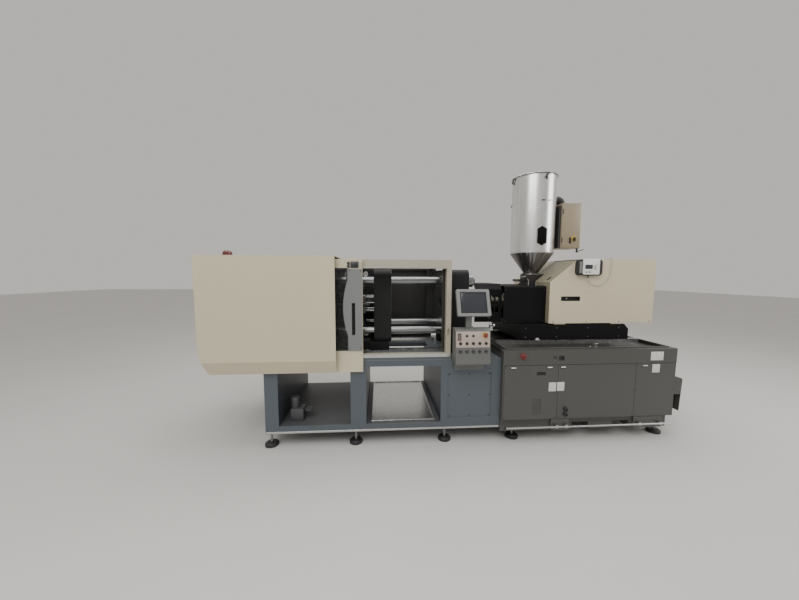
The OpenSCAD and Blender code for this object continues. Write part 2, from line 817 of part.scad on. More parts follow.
module side_duct() {
    x = machine_l;
    color(machine_grey) place() difference() {
        slab_y(14, duct_w) polygon([
            [x, 440], [x + 82, 440], [x + 74, 272], [x + 78, 272], [x + 94, 590], [x + 80, 604],
            [x, 620]
        ]);
        for (row = [0:4])
            block([x + 82, 84, 462 + row * 25], [14, duct_w - 140, 12]);
    }
    color(dark_grey) place() difference() {
        block([x, 600, 300], [fan_housing_l, fan_housing_w, 520]);
        translate([x + fan_housing_l - 9, 600 + fan_housing_w / 2, 560]) rotate([0, 90, 0])
            cylinder(h = 10, r = 120);
    }
}

module control_box() {
    depth = 128;
    y0 = panel_front + 14;
    color(panel_grey) place() {
        difference() {
            slab_x(panel_x, panel_w) polygon([
                [y0 + 10, box_z], [y0, box_z + 14], [y0 + face_back, box_z + box_h - 16],
                [y0 + face_back + 18, box_z + box_h], [y0 + depth, box_z + box_h], [y0 + depth, box_z]
            ]);
            for (b = button_places)
                button_frame(b) translate([0, 0, -24]) cylinder(h = 30, r = button_d / 2 + 0.5);
            button_frame(stop_place) translate([0, 0, -24]) cylinder(h = 30, r = 11.5);
        }
        // bracket to the base, in the shade under the box, and the screen's neck
        block([panel_x + 20, clamp_base_y - 30, box_z - 78], [panel_w - 40, 30, 100]);
        block([screen_pivot[0] - 26, y0 + 66, box_z + box_h - 1],
            [52, 38, screen_pivot[2] - box_z - box_h + 1]);
    }
    color(black_paint) place() {
        // five selector knobs on the plain lower part
        for (i = [0:4]) button_frame([0.14 + i * 0.184, 0.38]) {
            translate([0, 0, -1]) cylinder(h = 10, r = 12);
            translate([-3, -12, 8]) cube([6, 24, 7]);
        }
        // two small keys and a framed key switch beside the stop button
        for (i = [1, 2]) button_frame([0.14 + i * 0.184, 0.85])
            translate([0, 0, -1]) cylinder(h = 8, r = 9);
        button_frame([0.11, 0.82]) translate([-14, -22, -1]) cube([28, 56, 6]);
    }
}

face_back = 24;
face_h = box_h - 30;
face_lean = atan(face_back / face_h);
// Places on the sloping face, as shares of its width and height
button_places = [for (i = [0:4]) [0.14 + i * 0.184, 0.62]];
stop_place = [0.85, 0.87];

// Puts a piece on the control box's face, its +z out of the face and its +y up.
module button_frame(share) {
    run = share[1] * face_h;
    translate([panel_x + share[0] * panel_w, panel_front + 14 + run * tan(face_lean),
        box_z + 14 + run]) rotate([90 - face_lean, 0, 0]) children();
}

module push_button(i) {
    color(black_paint) place() button_frame(button_places[i]) {
        translate([0, 0, -14]) cylinder(h = 22, r = button_d / 2);
        translate([0, 0, 6]) cylinder(h = 4, r1 = button_d / 2, r2 = button_d / 2 - 3);
    }
}

module emergency_stop() {
    color("#a02820") place() button_frame(stop_place) {
        translate([0, 0, -14]) cylinder(h = 26, r = 11);
        translate([0, 0, 11]) cylinder(h = 7, r1 = 15, r2 = 21);
        translate([0, 0, 18]) cylinder(h = 9, r1 = 21, r2 = 17);
    }
}

screen_pivot = [panel_x + 133, panel_front + 96, box_z + box_h + 115];

module screen() {
    color(panel_grey) place() {
        translate([screen_pivot[0], screen_pivot[1], screen_pivot[2] + 0.3]) {
            cylinder(h = 26, r = 26);
            translate([-26, -20, 20]) cube([52, 40, 60]);
        }
        translate([panel_x + panel_w / 2 - screen_w / 2 + 11, panel_front + 62, screen_z])
            rotate([90 - screen_tilt, 0, 0]) difference() {
                union() {
                    linear_extrude(34) rounded_rect([0, 0], [screen_w, screen_h], 12);
                    translate([60, 40, -40]) cube([screen_w - 120, screen_h - 80, 41]);
                }
                translate([30, 26, 30]) cube([screen_w - 60, screen_h - 52, 5]);
            }
    }
}

module warning_beacon() {
    color("#5a2a24") place() translate([190, 150, cover_top]) rotate_extrude() polygon([
        [0, 0], [48, 0], [48, 12], [40, 16], [40, 34], [34, 44], [22, 51], [0, 54]
    ]);
}

// Carriage casting under the injection unit, black, open underneath.
module carriage() {
    y0 = centre_y - injection_cover_w / 2 - 4;
    width = injection_cover_w + 8;
    wall = 22;
    right = carriage_x1;
    color(black_paint) place() difference() {
        union() {
            slab_y(y0, width) polygon([
                [carriage_x0, carriage_z0], [right, carriage_z0], [right, carriage_z1 - 50],
                [right - 46, carriage_z1], [carriage_x0, carriage_z1]
            ]);
            for (s = [-1, 1], x = [carriage_x0 + 60, right - 300])
                block([x, centre_y + s * rail_span / 2 - 50, injection_base_top + rail_rise + slide_gap],
                    [200, 100, carriage_z0 - injection_base_top]);
        }
        block([carriage_x0 + wall, y0 + wall, carriage_z0 - 1],
            [right - carriage_x0 - 2 * wall - 40, rail_clear(y0 + wall), carriage_z1 - carriage_z0 - 40]);
        block([carriage_x0 + wall, centre_y + rail_span / 2 + 60, carriage_z0 - 1],
            [right - carriage_x0 - 2 * wall - 40, width / 2 - rail_span / 2 - 60 - wall,
            carriage_z1 - carriage_z0 - 40]);
        block([carriage_x0 + wall, centre_y - rail_span / 2 + 60, carriage_z0 - 1],
            [right - carriage_x0 - 2 * wall - 40, rail_span - 120, carriage_z1 - carriage_z0 - 40]);
    }
}

// Width of the hollow between the front skirt and the runner of the near rail.
function rail_clear(inner_y) = centre_y - rail_span / 2 - 60 - inner_y;

// Cast block that holds the barrel's end and takes the hopper.
module feed_block() {
    color(cast_grey) place() difference() {
        union() {
            block([block_x0, centre_y - 240, carriage_z1], [block_l, 480, 330]);
            block([hopper_x - 85, centre_y - 100, carriage_z1 + 320],
                [170, 200, gate_z - carriage_z1 - 320]);
        }
        rod_x([block_x0 - 1, centre_y, centre_z], block_l + 2, barrel_d / 2 + run_gap);
        translate([hopper_x, centre_y, centre_z]) cylinder(h = 400, r = 36);
        for (s = [-1, 1])
            block([block_x0 - 1, centre_y + s * 170 - 45, carriage_z1 + 225],
                [block_l + 2, 90, 70]);
    }
}

module barrel() {
    nozzle_x = fixed_x + 58;
    head_x = fixed_x + fixed_t + 12;
    end_x = block_x0 + block_l;
    bore_r = screw_d / 2 + 0.3;
    feed_r = 30;
    color(cast_grey) place() difference() {
        union() {
            rod_x([head_x + 70, centre_y, centre_z], end_x - head_x - 70, barrel_d / 2);
            rod_x([head_x, centre_y, centre_z], 71, barrel_d / 2 + 16);
            translate([nozzle_x, centre_y, centre_z]) rotate([0, 90, 0])
                rotate_extrude() polygon([
                    [0, 0], [14, 0], [20, 12], [20, 60], [32, 66], [32, head_x - nozzle_x + 1],
                    [0, head_x - nozzle_x + 1]
                ]);
        }
        rod_x([nozzle_x - 1, centre_y, centre_z], 200, 3);
        rod_x([head_x + 20, centre_y, centre_z], end_x - head_x, bore_r);
        translate([hopper_x, centre_y, centre_z]) cylinder(h = 100, r = feed_r);
    }
}

module heater_bands() {
    first = fixed_x + fixed_t + 100;
    band = 84;
    pitch = 126;
    color("#8d8a84") place() for (i = [0:4]) difference() {
        union() {
            rod_x([first + i * pitch, centre_y, centre_z], band, barrel_d / 2 + 9);
            block([first + i * pitch + 20, centre_y - 16, centre_z + barrel_d / 2 + 2],
                [band - 40, 32, 28]);
        }
        rod_x([first + i * pitch - 1, centre_y, centre_z], band + 2, barrel_d / 2 + run_gap);
    }
}

// Black hood over the heated barrel, with rows of vent slots.
module barrel_guard() {
    x0 = 2800;
    length = injection_cover_x - 2 - x0;
    half_w = 330;
    top = 1500;
    wall = 4;
    fold = 14;
    color(black_paint) place() difference() {
        slab_x(x0, length) polygon([
            [centre_y - half_w, carriage_z1 + 1], [centre_y - half_w, top - fold],
            [centre_y - half_w + fold, top], [centre_y + half_w - fold, top],
            [centre_y + half_w, top - fold], [centre_y + half_w, carriage_z1 + 1]
        ]);
        slab_x(x0 - 1, length - wall) polygon([
            [centre_y - half_w + wall, carriage_z1], [centre_y - half_w + wall, top - fold - 2],
            [centre_y - half_w + fold + 2, top - wall], [centre_y + half_w - fold - 2, top - wall],
            [centre_y + half_w - wall, top - fold - 2], [centre_y + half_w - wall, carriage_z1]
        ]);
        rod_x([x0, centre_y, centre_z], length + 2, 90);
        // way through for the feed block
        block([block_x0 - 6, centre_y - 246, carriage_z1], [length + x0 - block_x0 + 8, 492, 340]);
        block([hopper_x - 92, centre_y - 107, carriage_z1 + 320], [length + x0 - hopper_x + 94, 214, 200]);
        for (i = [0:8])
            block([x0 + 40 + i * 34, centre_y - half_w + 80, top - wall - 1],
                [14, 2 * half_w - 160, wall + 2]);
    }
    color(black_paint) place() for (s = [-1, 1])
        block([carriage_x0 + 4, centre_y + s * (half_w - 10) - 7, carriage_z1],
            [150, 14, 40]);
}

purge_hinge = [fixed_x + fixed_t, centre_y + 180, 1505];
purge_pin_r = 8;
purge_x0 = purge_hinge[0] + 82;
purge_l = 280;

// Hood over the nozzle, hinged at its back edge on a rod from the fixed platen.
module purge_guard() {
    front = centre_y - 300;
    low = 1130;
    top = purge_hinge[2] + 14;
    wall = 4;
    color(dark_grey) place() difference() {
        union() {
            slab_x(purge_x0, purge_l) polygon([
                [front, low], [front, top - 55], [front + 55, top], [purge_hinge[1] + 14, top],
                [purge_hinge[1] + 14, top - wall], [front + 55 + 2, top - wall],
                [front + wall, top - 55 - 2], [front + wall, low]
            ]);
            block([purge_x0, purge_hinge[1] - 14, purge_hinge[2] - 14], [purge_l, 28, 28]);
            block([purge_x0, front + wall - 1, low + 60], [purge_l, 13, 14]);
            block([purge_x0, front + wall - 1, low + 300], [purge_l, 13, 14]);
        }
        rod_x([purge_x0 - 1, purge_hinge[1], purge_hinge[2]], purge_l + 2, purge_pin_r + run_gap);
        for (i = [0:4])
            block([purge_x0 + 32 + i * 46, front - 1, low + 100], [30, wall + 2, 170]);
    }
}

module injection_cover() {
    x0 = injection_cover_x;
    x1 = injection_cover_x + injection_cover_l;
    y0 = centre_y - injection_cover_w / 2;
    slope_x = 278;
    slope_z = 228;
    notch = 107;
    bottom = carriage_z1 + 10;
    w = sheet_t;
    color(cream) place() difference() {
        slab_y(y0, injection_cover_w) polygon([
            [x0, bottom], [x0, cover_top - slope_z], [x0 + slope_x, cover_top], [x1, cover_top],
            [x1, bottom]
        ]);
        slab_y(y0 + w, injection_cover_w - 2 * w) polygon([
            [x0 + w, bottom - 1], [x0 + w, cover_top - slope_z - 2],
            [x0 + slope_x + 2, cover_top - w], [x1 - w, cover_top - w], [x1 - w, bottom - 1]
        ]);
        // way through for the feed block and the hopper's cone
        block([x0 - 1, centre_y - 246, bottom - 1], [w + 2, 492, 340]);
        block([x0 - 1, centre_y - notch, bottom + 330],
            [hopper_x + 101 - x0, 2 * notch, cover_top - bottom - 320]);
        // long finger recess, cut into the front sheet
        block([3363, y0 - 1, 1350], [199, w + 2, 46]);
        // slots in the end wall
        for (row = [0:7])
            block([x1 - w - 1, y0 + 120, 1260 + row * 30], [w + 2, injection_cover_w - 240, 12]);
        // hole for the cable in the top sheet
        translate([3875, y0 + 30, cover_top - w - 1]) cylinder(h = w + 2, r = 6);
    }
    // tray behind the finger recess, and flanges that fasten the cover to the carriage
    color(black_paint) place() {
        difference() {
            block([3355, y0 + w - 1, 1342], [215, 37, 62]);
            block([3363, y0 + w - 2, 1350], [199, 32, 46]);
        }
        for (s = [-1, 1], x = [x0 + 60, carriage_x1 - 190])
            block([x, centre_y + s * (injection_cover_w / 2 - w - 9) - 10, carriage_z1],
                [120, 20, 40]);
    }
}

// Rear plate of the injection drive with its guide rods, standing on the carriage.
module injection_frame() {
    color(cast_grey) place() difference() {
        union() {
            block([rear_plate_x - 100, centre_y - 250, carriage_z1], [104, 500, 46]);
            block([rear_plate_x - rear_plate_t, centre_y - 250, carriage_z1],
                [rear_plate_t, 500, 390]);
        }
        rod_x([rear_plate_x - rear_plate_t - 1, centre_y, centre_z], rear_plate_t + 2,
            22 + run_gap);
    }
    color(bright_steel) place() for (s = [-1, 1])
        rod_x([block_x0 + block_l, centre_y + s * injection_rod_y, centre_z],
            rear_plate_x - rear_plate_t - block_x0 - block_l + rim, 24);
}

module injection_motor() {
    x = rear_plate_x;
    color(dark_grey) place() {
        rod_x([x + 24, centre_y, centre_z], 170, 95);
        for (sy = [-1, 1], sz = [-1, 1])
            rod_x([x, centre_y + sy * 68, centre_z + sz * 68], 26, 9);
        block([x + 60, centre_y - 50, centre_z + 85], [90, 100, 50]);
    }
}

module pusher_plate() {
    color(cast_grey) place() difference() {
        union() {
            block([pusher_x, centre_y - 240, centre_z - 130], [pusher_t, 480, 260]);
            rod_x([pusher_x - 60, centre_y, centre_z], 61, 78);
            rod_x([pusher_x + pusher_t - 1, centre_y, centre_z], pusher_hub_l + 1, 62);
        }
        for (s = [-1, 1])
            rod_x([pusher_x - 1, centre_y + s * injection_rod_y, centre_z], pusher_t + 2,
                24 + run_gap);
        rod_x([pusher_x - 61, centre_y, centre_z], 100, 26 + run_gap);
        rod_x([pusher_x + 38, centre_y, centre_z], pusher_t + pusher_hub_l - 97, 24);
        rod_x([pusher_x + pusher_t + pusher_hub_l - 60, centre_y, centre_z], 61,
            injection_screw_r + run_gap);
    }
    color(dark_grey) place() rod_x([pusher_x - 145, centre_y, centre_z + 185], 145 + 40, 52);
    color(dark_grey) place() block([pusher_x + 6, centre_y - 40, centre_z + 126], [40, 80, 60]);
}

// Plasticizing screw: a driven shank, the flight as a twisted extrusion, and the pointed tip.
module plasticizing_screw() {
    tip_x = fixed_x + fixed_t + 40 + injection_stroke;
    flight_l = block_x0 + block_l - 20 - tip_x;
    turns = flight_l / (1.1 * screw_d);
    shank_x = tip_x + flight_l;
    core_r = screw_d / 2 - 7;
    color(bright_steel) place() {
        translate([tip_x, centre_y, centre_z]) rotate([0, 90, 0]) {
            linear_extrude(flight_l, twist = -360 * turns, slices = ceil(turns * 10), $fn = 12)
                polygon(flight_outline(core_r, screw_d / 2));
            translate([0, 0, -28]) cylinder(h = 28.5, r1 = 2, r2 = core_r);
        }
        rod_x([shank_x - 0.5, centre_y, centre_z], pusher_x - 60 - shank_x + 1, 17);
        rod_x([pusher_x - 60, centre_y, centre_z], 90, 26);
    }
}

// Core circle with the one tooth of the flight.
function flight_outline(core_r, tip_r) = concat(
    [for (a = [30:30:330]) core_r * [cos(a), sin(a)]],
    [for (y = [-3.5, 3.5]) [sqrt(tip_r * tip_r - y * y), y]]
);

module injection_ball_screw() {
    x0 = pusher_x + pusher_t + pusher_hub_l - 58;
    flange_x = rear_plate_x - rear_plate_t - 14.3;
    color(bright_steel) place() {
        rod_x([x0, centre_y, centre_z], rear_plate_x + 23 - x0, injection_screw_r);
        rod_x([flange_x, centre_y, centre_z], 14, 34);
        rod_x([flange_x + 13, centre_y, centre_z], rear_plate_t + 12, 22);
    }
}

module hopper() {
    wall = 3;
    neck_r = 75;
    flange_r = 93;
    sight_w = 98;
    sight_h = 200;
    gate_half = 80;
    color("#c4c6ca") place() translate([hopper_x, centre_y, 0]) {
        difference() {
            rotate_extrude() polygon([
                [flange_r, gate_z + gate_h], [flange_r, hopper_neck], [neck_r, hopper_neck],
                [hopper_r, hopper_bottom],
                [hopper_r, hopper_top], [hopper_r + 6, hopper_top], [hopper_r + 6, hopper_top + 4],
                [hopper_r - wall, hopper_top + 4], [hopper_r - wall, hopper_bottom + 1],
                [neck_r - wall, hopper_neck + 1], [neck_r - wall, gate_z + gate_h]
            ]);
            // long six-sided sight window
            rotate([0, 0, -3.5]) translate([0, -hopper_r - 10, 2016])
                rotate([-90, 0, 0]) linear_extrude(40) polygon(hex_points(sight_w, sight_h));
            // inlet of the dry air
            rod_x([hopper_r - 40, 0, dry_air_z], 80, dry_air_r + 0.3);
        }
        // shut-off housing under the neck
        difference() {
            translate([-gate_half, -gate_half, gate_z])
                cube([2 * gate_half, 2 * gate_half, gate_h]);
            translate([0, 0, gate_z - 1]) cylinder(h = gate_h + 2, r = 40);
            translate([-gate_half - 1, -60.5, gate_z + 22]) cube([2 * gate_half + 2, 121, 17]);
        }
        // ears and pin of the lid's hinge
        for (x = [-lid_tab_w / 2 - 9, lid_tab_w / 2 + 1])
            translate([x, 0, 0]) rotate([90, 0, 90]) linear_extrude(8) {
                translate([lid_hinge[1] - centre_y, lid_hinge[2]]) circle(r = 9);
                translate([hopper_r - 2, hopper_top - 24])
                    square([lid_hinge[1] - centre_y - hopper_r + 11, 27]);
                translate([lid_hinge[1] - centre_y - 9, hopper_top - 1])
                    square([18, lid_hinge[2] - hopper_top + 1]);
            }
        translate([-lid_tab_w / 2 - 9, lid_hinge[1] - centre_y, lid_hinge[2]]) rotate([0, 90, 0])
            cylinder(h = lid_tab_w + 18, r = 4);
    }
}

// Corners of a tall six-sided window, about its centre.
function hex_points(w, h) = [
    [-w / 2, -h / 2 + w * 0.3], [0, -h / 2], [w / 2, -h / 2 + w * 0.3],
    [w / 2, h / 2 - w * 0.3], [0, h / 2], [-w / 2, h / 2 - w * 0.3]
];

lid_hinge = [hopper_x, centre_y + hopper_r + 32, hopper_top + 10];
lid_tab_w = 60;
dry_air_z = 1965;
dry_air_r = 26;

module hopper_lid() {
    r = hopper_r + 9;
    color("#c4c6ca") place() {
        translate([hopper_x, centre_y, hopper_top + 4.3]) rotate_extrude() polygon([
            [0, 0], [r, 0], [r, 12], [r - 6, 18], [60, 30], [0, 30]
        ]);
        translate([hopper_x - 55, centre_y - 6, hopper_top + 33]) difference() {
            cube([110, 12, 26]);
            translate([14, -1, -1]) cube([82, 14, 17]);
        }
        translate([hopper_x - lid_tab_w / 2, 0, 0]) rotate([90, 0, 90]) linear_extrude(lid_tab_w)
            difference() {
                union() {
                    translate([centre_y + r - 8, hopper_top + 4.3])
                        square([lid_hinge[1] - centre_y - r + 8, 12]);
                    translate([lid_hinge[1], lid_hinge[2]]) circle(r = 9);
                }
                translate([lid_hinge[1], lid_hinge[2]]) circle(r = 4 + run_gap);
            }
    }
}

module shut_off_slide() {
    color(black_paint) place() translate([hopper_x, centre_y, gate_z + 22.3]) {
        difference() {
            translate([-150, -60, 0]) cube([300, 120, 16.4]);
            translate([0, 0, -1]) cylinder(h = 19, r = 38);
        }
        translate([-172, -70, -6]) cube([23, 140, 28]);
    }
}

dryer_box_h = 474;
dryer_box_z = 1900;
dryer_corner = [3712, 470];
duct_t = 22;
hose_r = 40;
bend_r = 48;

// Control box of the hopper dryer, with its air duct and the bend of the return air.
module dryer_box() {
    drum_x = hopper_x + hopper_r;
    duct_x = dryer_corner[0] - dryer_w - duct_t;
    bend_x = dryer_corner[0] - dryer_w + 16;
    bend_z = dryer_box_z + dryer_box_h + 10;
    color("#a9a294") place() difference() {
        dryer_frame() translate([-dryer_w, 0, 0]) cube([dryer_w, dryer_d, dryer_box_h]);
        dryer_frame() translate([-74, 1, 96]) rotate([90, 0, 0]) cylinder(h = 2, r = 15);
    }
    color(dark_grey) place() {
        block([duct_x, dryer_corner[1] + 12, dryer_box_z], [duct_t + 1, dryer_d - 20, dryer_box_h - 24]);
        // inlet of the dry air, which enters the drum
        rod_x([drum_x - 24, centre_y, dry_air_z], duct_x - drum_x + 25, dry_air_r);
        // arms and the return pipe, which seat on the drum's wall
        difference() {
            union() {
                for (z = [2060, 2250])
                    block([drum_x - 20, centre_y - 30, z], [duct_x - drum_x + 21, 60, 30]);
                rod_x([drum_x - 20, centre_y, bend_z + bend_r], bend_x - drum_x + 20, hose_r);
            }
            translate([hopper_x, centre_y, hopper_bottom]) cylinder(h = 700, r = hopper_r + 0.3);
        }
        translate([bend_x, centre_y, bend_z]) rotate([90, 0, 0]) rotate_extrude(angle = 90)
            translate([bend_r, 0]) circle(r = hose_r, $fn = 32);
        translate([bend_x + bend_r, centre_y, bend_z - 11]) cylinder(h = 12, r = hose_r + 5);
    }
}

// The frame of the dryer's box: its origin is the lower right corner of its face.
module dryer_frame() {
    translate([dryer_corner[0], dryer_corner[1], dryer_box_z]) children();
}

module dryer_switch() {
    color("#c9a227") place() dryer_frame() translate([-74, -0.3, 96]) rotate([90, 0, 0]) {
        cylinder(h = 5, r = 26);
        translate([0, 0, 4.5]) cylinder(h = 13, r = 14);
        translate([-5, -20, 12]) cube([10, 40, 14]);
    }
}

unit_y = centre_y - injection_cover_w / 2;
unit_x = 3492;
unit_z = 1606;

// Small display unit in a rubber bumper, held on the injection cover.
module handheld_unit() {
    w = 256;
    h = 158;
    color(black_paint) place() difference() {
        slab_y(unit_y - 40.2, 40) rounded_rect([unit_x, unit_z], [w, h], 34);
        slab_y(unit_y - 41.2, 12) rounded_rect([unit_x + 16, unit_z + 22], [24, h - 44], 8);
    }
    color("#e8e6dd") place() slab_y(unit_y - 52, 14)
        rounded_rect([unit_x + 50, unit_z + 10], [168, h - 4], 14);
}

// Cable from the unit down in a loop on the cover's face and up over its edge.
cable_d = 6;
cable_points = [
    [3618, 190, 1606], [3618, 190, 1590], [3622, 195, 1570], [3634, 200, 1548], [3652, 203, 1529],
    [3676, 204, 1514], [3704, 204, 1504], [3734, 204, 1501], [3764, 204, 1506], [3792, 204, 1519],
    [3817, 204, 1540], [3838, 204, 1567], [3854, 204, 1599], [3865, 204, 1634], [3871, 203, 1670],
    [3874, 202, 1706], [3875, 202, 1738], [3875, 203, 1764], [3875, 208, 1776], [3875, 217, 1782],
    [3875, 228, 1782], [3875, 237, 1776], [3875, 240, 1764]
];

// A tube with flat ends along points, as one polyhedron.
module tube_along(points, diameter, sides) {
    n = len(points);
    function dir(i) = let (a = points[max(i - 1, 0)], b = points[min(i + 1, n - 1)]) (b - a) / norm(b - a);
    function ring(i) = let (
        d = dir(i), across = cross(d, [1, 0.02, 0.01]), u = across / norm(across), v = cross(d, u)
    ) [for (k = [0:sides - 1]) points[i] + diameter / 2 * (cos(k * 360 / sides) * u
        + sin(k * 360 / sides) * v)];
    polyhedron(
        points = [for (i = [0:n - 1]) each ring(i)],
        faces = concat(
            [[for (k = [0:sides - 1]) k]],
            [for (i = [0:n - 2], k = [0:sides - 1]) let (m = (k + 1) % sides)
                [i * sides + k, (i + 1) * sides + k, (i + 1) * sides + m, i * sides + m]],
            [[for (k = [0:sides - 1]) n * sides - 1 - k]]
        )
    );
}

module handheld_cable() {
    color("#9a978c") place() tube_along(cable_points, cable_d, 8);
}

clamp_base();
injection_base();
levelling_feet();
slide_ways();
fixed_platen();
tie_bars();
front_clamp_cover();
rear_clamp_cover();
end_clamp_cover();
door_frame();
base_pipe();
cabinet_covers();
side_duct();
control_box();
warning_beacon();
front_door();
door_handle_panel();
front_door_window();
rear_door();
tail_platen();
tail_nuts();
clamp_motor();
ball_nut();
crosshead();
clamp_ball_screw();
rear_links(1);  // rear_links_upper
rear_links(-1);  // rear_links_lower
front_links(1);  // front_links_upper
front_links(-1);  // front_links_lower
crosshead_link(1);  // crosshead_link_upper
crosshead_link(-1);  // crosshead_link_lower
moving_platen();
ejector_plate();
ejector_motor();
carriage();
feed_block();
barrel();
heater_bands();
barrel_guard();
purge_guard();
injection_cover();
injection_frame();
injection_motor();
pusher_plate();
plasticizing_screw();
injection_ball_screw();
hopper();
hopper_lid();
shut_off_slide();
dryer_box();
dryer_switch();
handheld_unit();
handheld_cable();
screen();
emergency_stop();
push_button(0);  // push_button_1
push_button(1);  // push_button_2
push_button(2);  // push_button_3
push_button(3);  // push_button_4
push_button(4);  // push_button_5
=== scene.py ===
from math import atan, atan2, cos, radians, sin

import bmesh
import bpy
from mathutils import Matrix, Vector


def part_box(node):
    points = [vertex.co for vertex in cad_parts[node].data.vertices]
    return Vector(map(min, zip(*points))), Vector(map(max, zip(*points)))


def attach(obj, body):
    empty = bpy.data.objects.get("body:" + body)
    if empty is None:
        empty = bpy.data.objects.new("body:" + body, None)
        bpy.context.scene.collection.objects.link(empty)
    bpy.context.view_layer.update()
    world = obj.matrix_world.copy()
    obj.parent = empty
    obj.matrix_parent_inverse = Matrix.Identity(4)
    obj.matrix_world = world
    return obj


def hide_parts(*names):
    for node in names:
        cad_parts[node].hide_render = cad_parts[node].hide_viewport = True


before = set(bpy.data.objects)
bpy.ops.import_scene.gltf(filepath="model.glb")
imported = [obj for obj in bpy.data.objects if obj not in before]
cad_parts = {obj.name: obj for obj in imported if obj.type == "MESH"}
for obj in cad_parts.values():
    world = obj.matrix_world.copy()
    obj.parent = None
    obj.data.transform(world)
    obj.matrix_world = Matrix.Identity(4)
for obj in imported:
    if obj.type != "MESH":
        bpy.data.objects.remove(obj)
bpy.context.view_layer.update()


# The camera stands in front of the machine at eye height, with a wide lens, a little to the left
# of the middle, turned right and tilted down by a few degrees.
yaw, pitch, roll = 0.066942, 0.085810, 0.002850
bpy.ops.object.camera_add(location=(-0.7408, -3.15, 1.606))
camera = bpy.context.object
camera.name = "camera"
camera.data.lens = 13.107
camera.rotation_euler = (
    Matrix.Rotation(-yaw, 3, "Z")
    @ Matrix.Rotation(radians(90) - pitch, 3, "X")
    @ Matrix.Rotation(roll, 3, "Z")
).to_euler()
bpy.context.scene.camera = camera


# The display unit's cable: a thin limp PVC lead that leaves the unit's lower edge, hangs in one loop
# on the cover's face and goes over the cover's top edge into a hole behind it.
machine_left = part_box("end_clamp_cover")[0].x
machine_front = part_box("injection_base")[0].y
middle_y = 600
to_front, upwards = (0, -1, 0), (0, 0, 1)


def at(x, y, z):
    """A place on the machine in mm: from its left end, from the base's front, above the floor."""
    return Vector((machine_left + x / 1000, machine_front + y / 1000, z / 1000))


class Shade:
    """One value in a material. Sums, products and comparisons on it add Math nodes."""

    def __init__(self, tree, socket):
        self.tree = tree
        self.socket = socket

    def node(self, kind, settings, values, out=0):
        """Adds a node: its settings are set first, then its sockets' values or links."""
        made = self.tree.nodes.new("ShaderNode" + kind)
        for key, value in settings.items():
            setattr(made, key, value)
        for key, value in values.items():
            if isinstance(value, Shade):
                self.tree.links.new(value.socket, made.inputs[key])
            else:
                made.inputs[key].default_value = value
        return Shade(self.tree, made.outputs[out])

    def math(self, operation, first, second):
        return self.node("Math", {"operation": operation}, {0: first, 1: second})

    def __add__(self, other):
        return self.math("ADD", self, other)

    def __radd__(self, other):
        return self.math("ADD", other, self)

    def __sub__(self, other):
        return self.math("SUBTRACT", self, other)

    def __rsub__(self, other):
        return self.math("SUBTRACT", other, self)

    def __mul__(self, other):
        return self.math("MULTIPLY", self, other)

    def __gt__(self, other):
        return self.math("GREATER_THAN", self, other)

    def __lt__(self, other):
        return self.math("LESS_THAN", self, other)

    def clamped(self):
        """The value kept between 0 and 1."""
        return self.node("Clamp", {}, {0: self})

    def tint(self, first, second):
        """A colour between two, with this value as the share of the second."""
        return self.node("Mix", {"data_type": "RGBA"}, {0: self, 6: first, 7: second}, out=2)

    def noise(self, size, detail=3.0, stretch=(1, 1, 1)):
        """Noise over this vector; size is the width of its patches in metres."""
        spread = self.node("Mapping", {}, {"Vector": self, "Scale": stretch})
        return self.node("TexNoise", {}, {"Vector": spread, "Scale": 1 / size, "Detail": detail})

    def part(self, axis):
        """One number of this vector."""
        return self.node("SeparateXYZ", {}, {0: self}, out=axis)

    def between(self, front, rear):
        """One between two planes, given in mm behind the base's front, else zero."""
        return (self.part(1) > at(0, front, 0).y) * (self.part(1) < at(0, rear, 0).y)

    def facing(self):
        """The way that the surface looks."""
        return Shade(self.tree, self.tree.nodes.new("ShaderNodeNewGeometry").outputs["Normal"])

    def soft_edge(self, radius):
        """The way that the surface looks, turned gently over its edges."""
        return self.node("Bevel", {"samples": 4}, {"Radius": radius})

    def bumps(self, strength, distance, normal=None):
        """The way that the surface looks, tilted by this value as its height."""
        values = {"Strength": strength, "Distance": distance, "Height": self}
        if normal:
            values["Normal"] = normal
        return self.node("Bump", {}, values)


def shader_place(name):
    """A new, empty material and the vector of its surface's places."""
    material = bpy.data.materials.new(name)
    material.use_nodes = True
    tree = material.node_tree
    tree.nodes.clear()
    return material, Shade(tree, tree.nodes.new("ShaderNodeTexCoord").outputs["Object"])


def close_shader(place, values):
    """Ends a material with one Principled shader."""
    surface = place.node("BsdfPrincipled", {}, values)
    output = place.tree.nodes.new("ShaderNodeOutputMaterial")
    place.tree.links.new(surface.socket, output.inputs["Surface"])


def scaled(colour, share, lift=0):
    """A colour times a share and lifted a little, with its alpha."""
    return tuple(min(1, c * share + lift) for c in colour) + (1,)


def moulded(name, colour, rough, grain=0.25):
    """Moulded plastic or rubber: a fine grain, a little handling shine and dust."""
    material, place = shader_place(name)
    cloud = place.noise(0.05)
    close_shader(place, {
        "Base Color": (cloud * 0.8).tint(scaled(colour, 0.86), scaled(colour, 1.12, 0.006)),
        "Roughness": rough - 0.08 + cloud * 0.16,
        "Normal": place.noise(0.0011, 2.0).bumps(grain, 0.0004),
    })
    return material


def clear():
    """Leaves edit mode and deselects everything."""
    if bpy.context.object and bpy.context.object.mode == "EDIT":
        bpy.ops.object.mode_set(mode="OBJECT")
    bpy.ops.object.select_all(action="DESELECT")


def pick(piece):
    """Makes one piece the only selected one and the active one."""
    clear()
    piece.select_set(True)
    bpy.context.view_layer.objects.active = piece


def open_mesh():
    """Opens the active piece for editing, with all of it selected."""
    bpy.ops.object.mode_set(mode="EDIT")
    bpy.ops.mesh.select_all(action="SELECT")


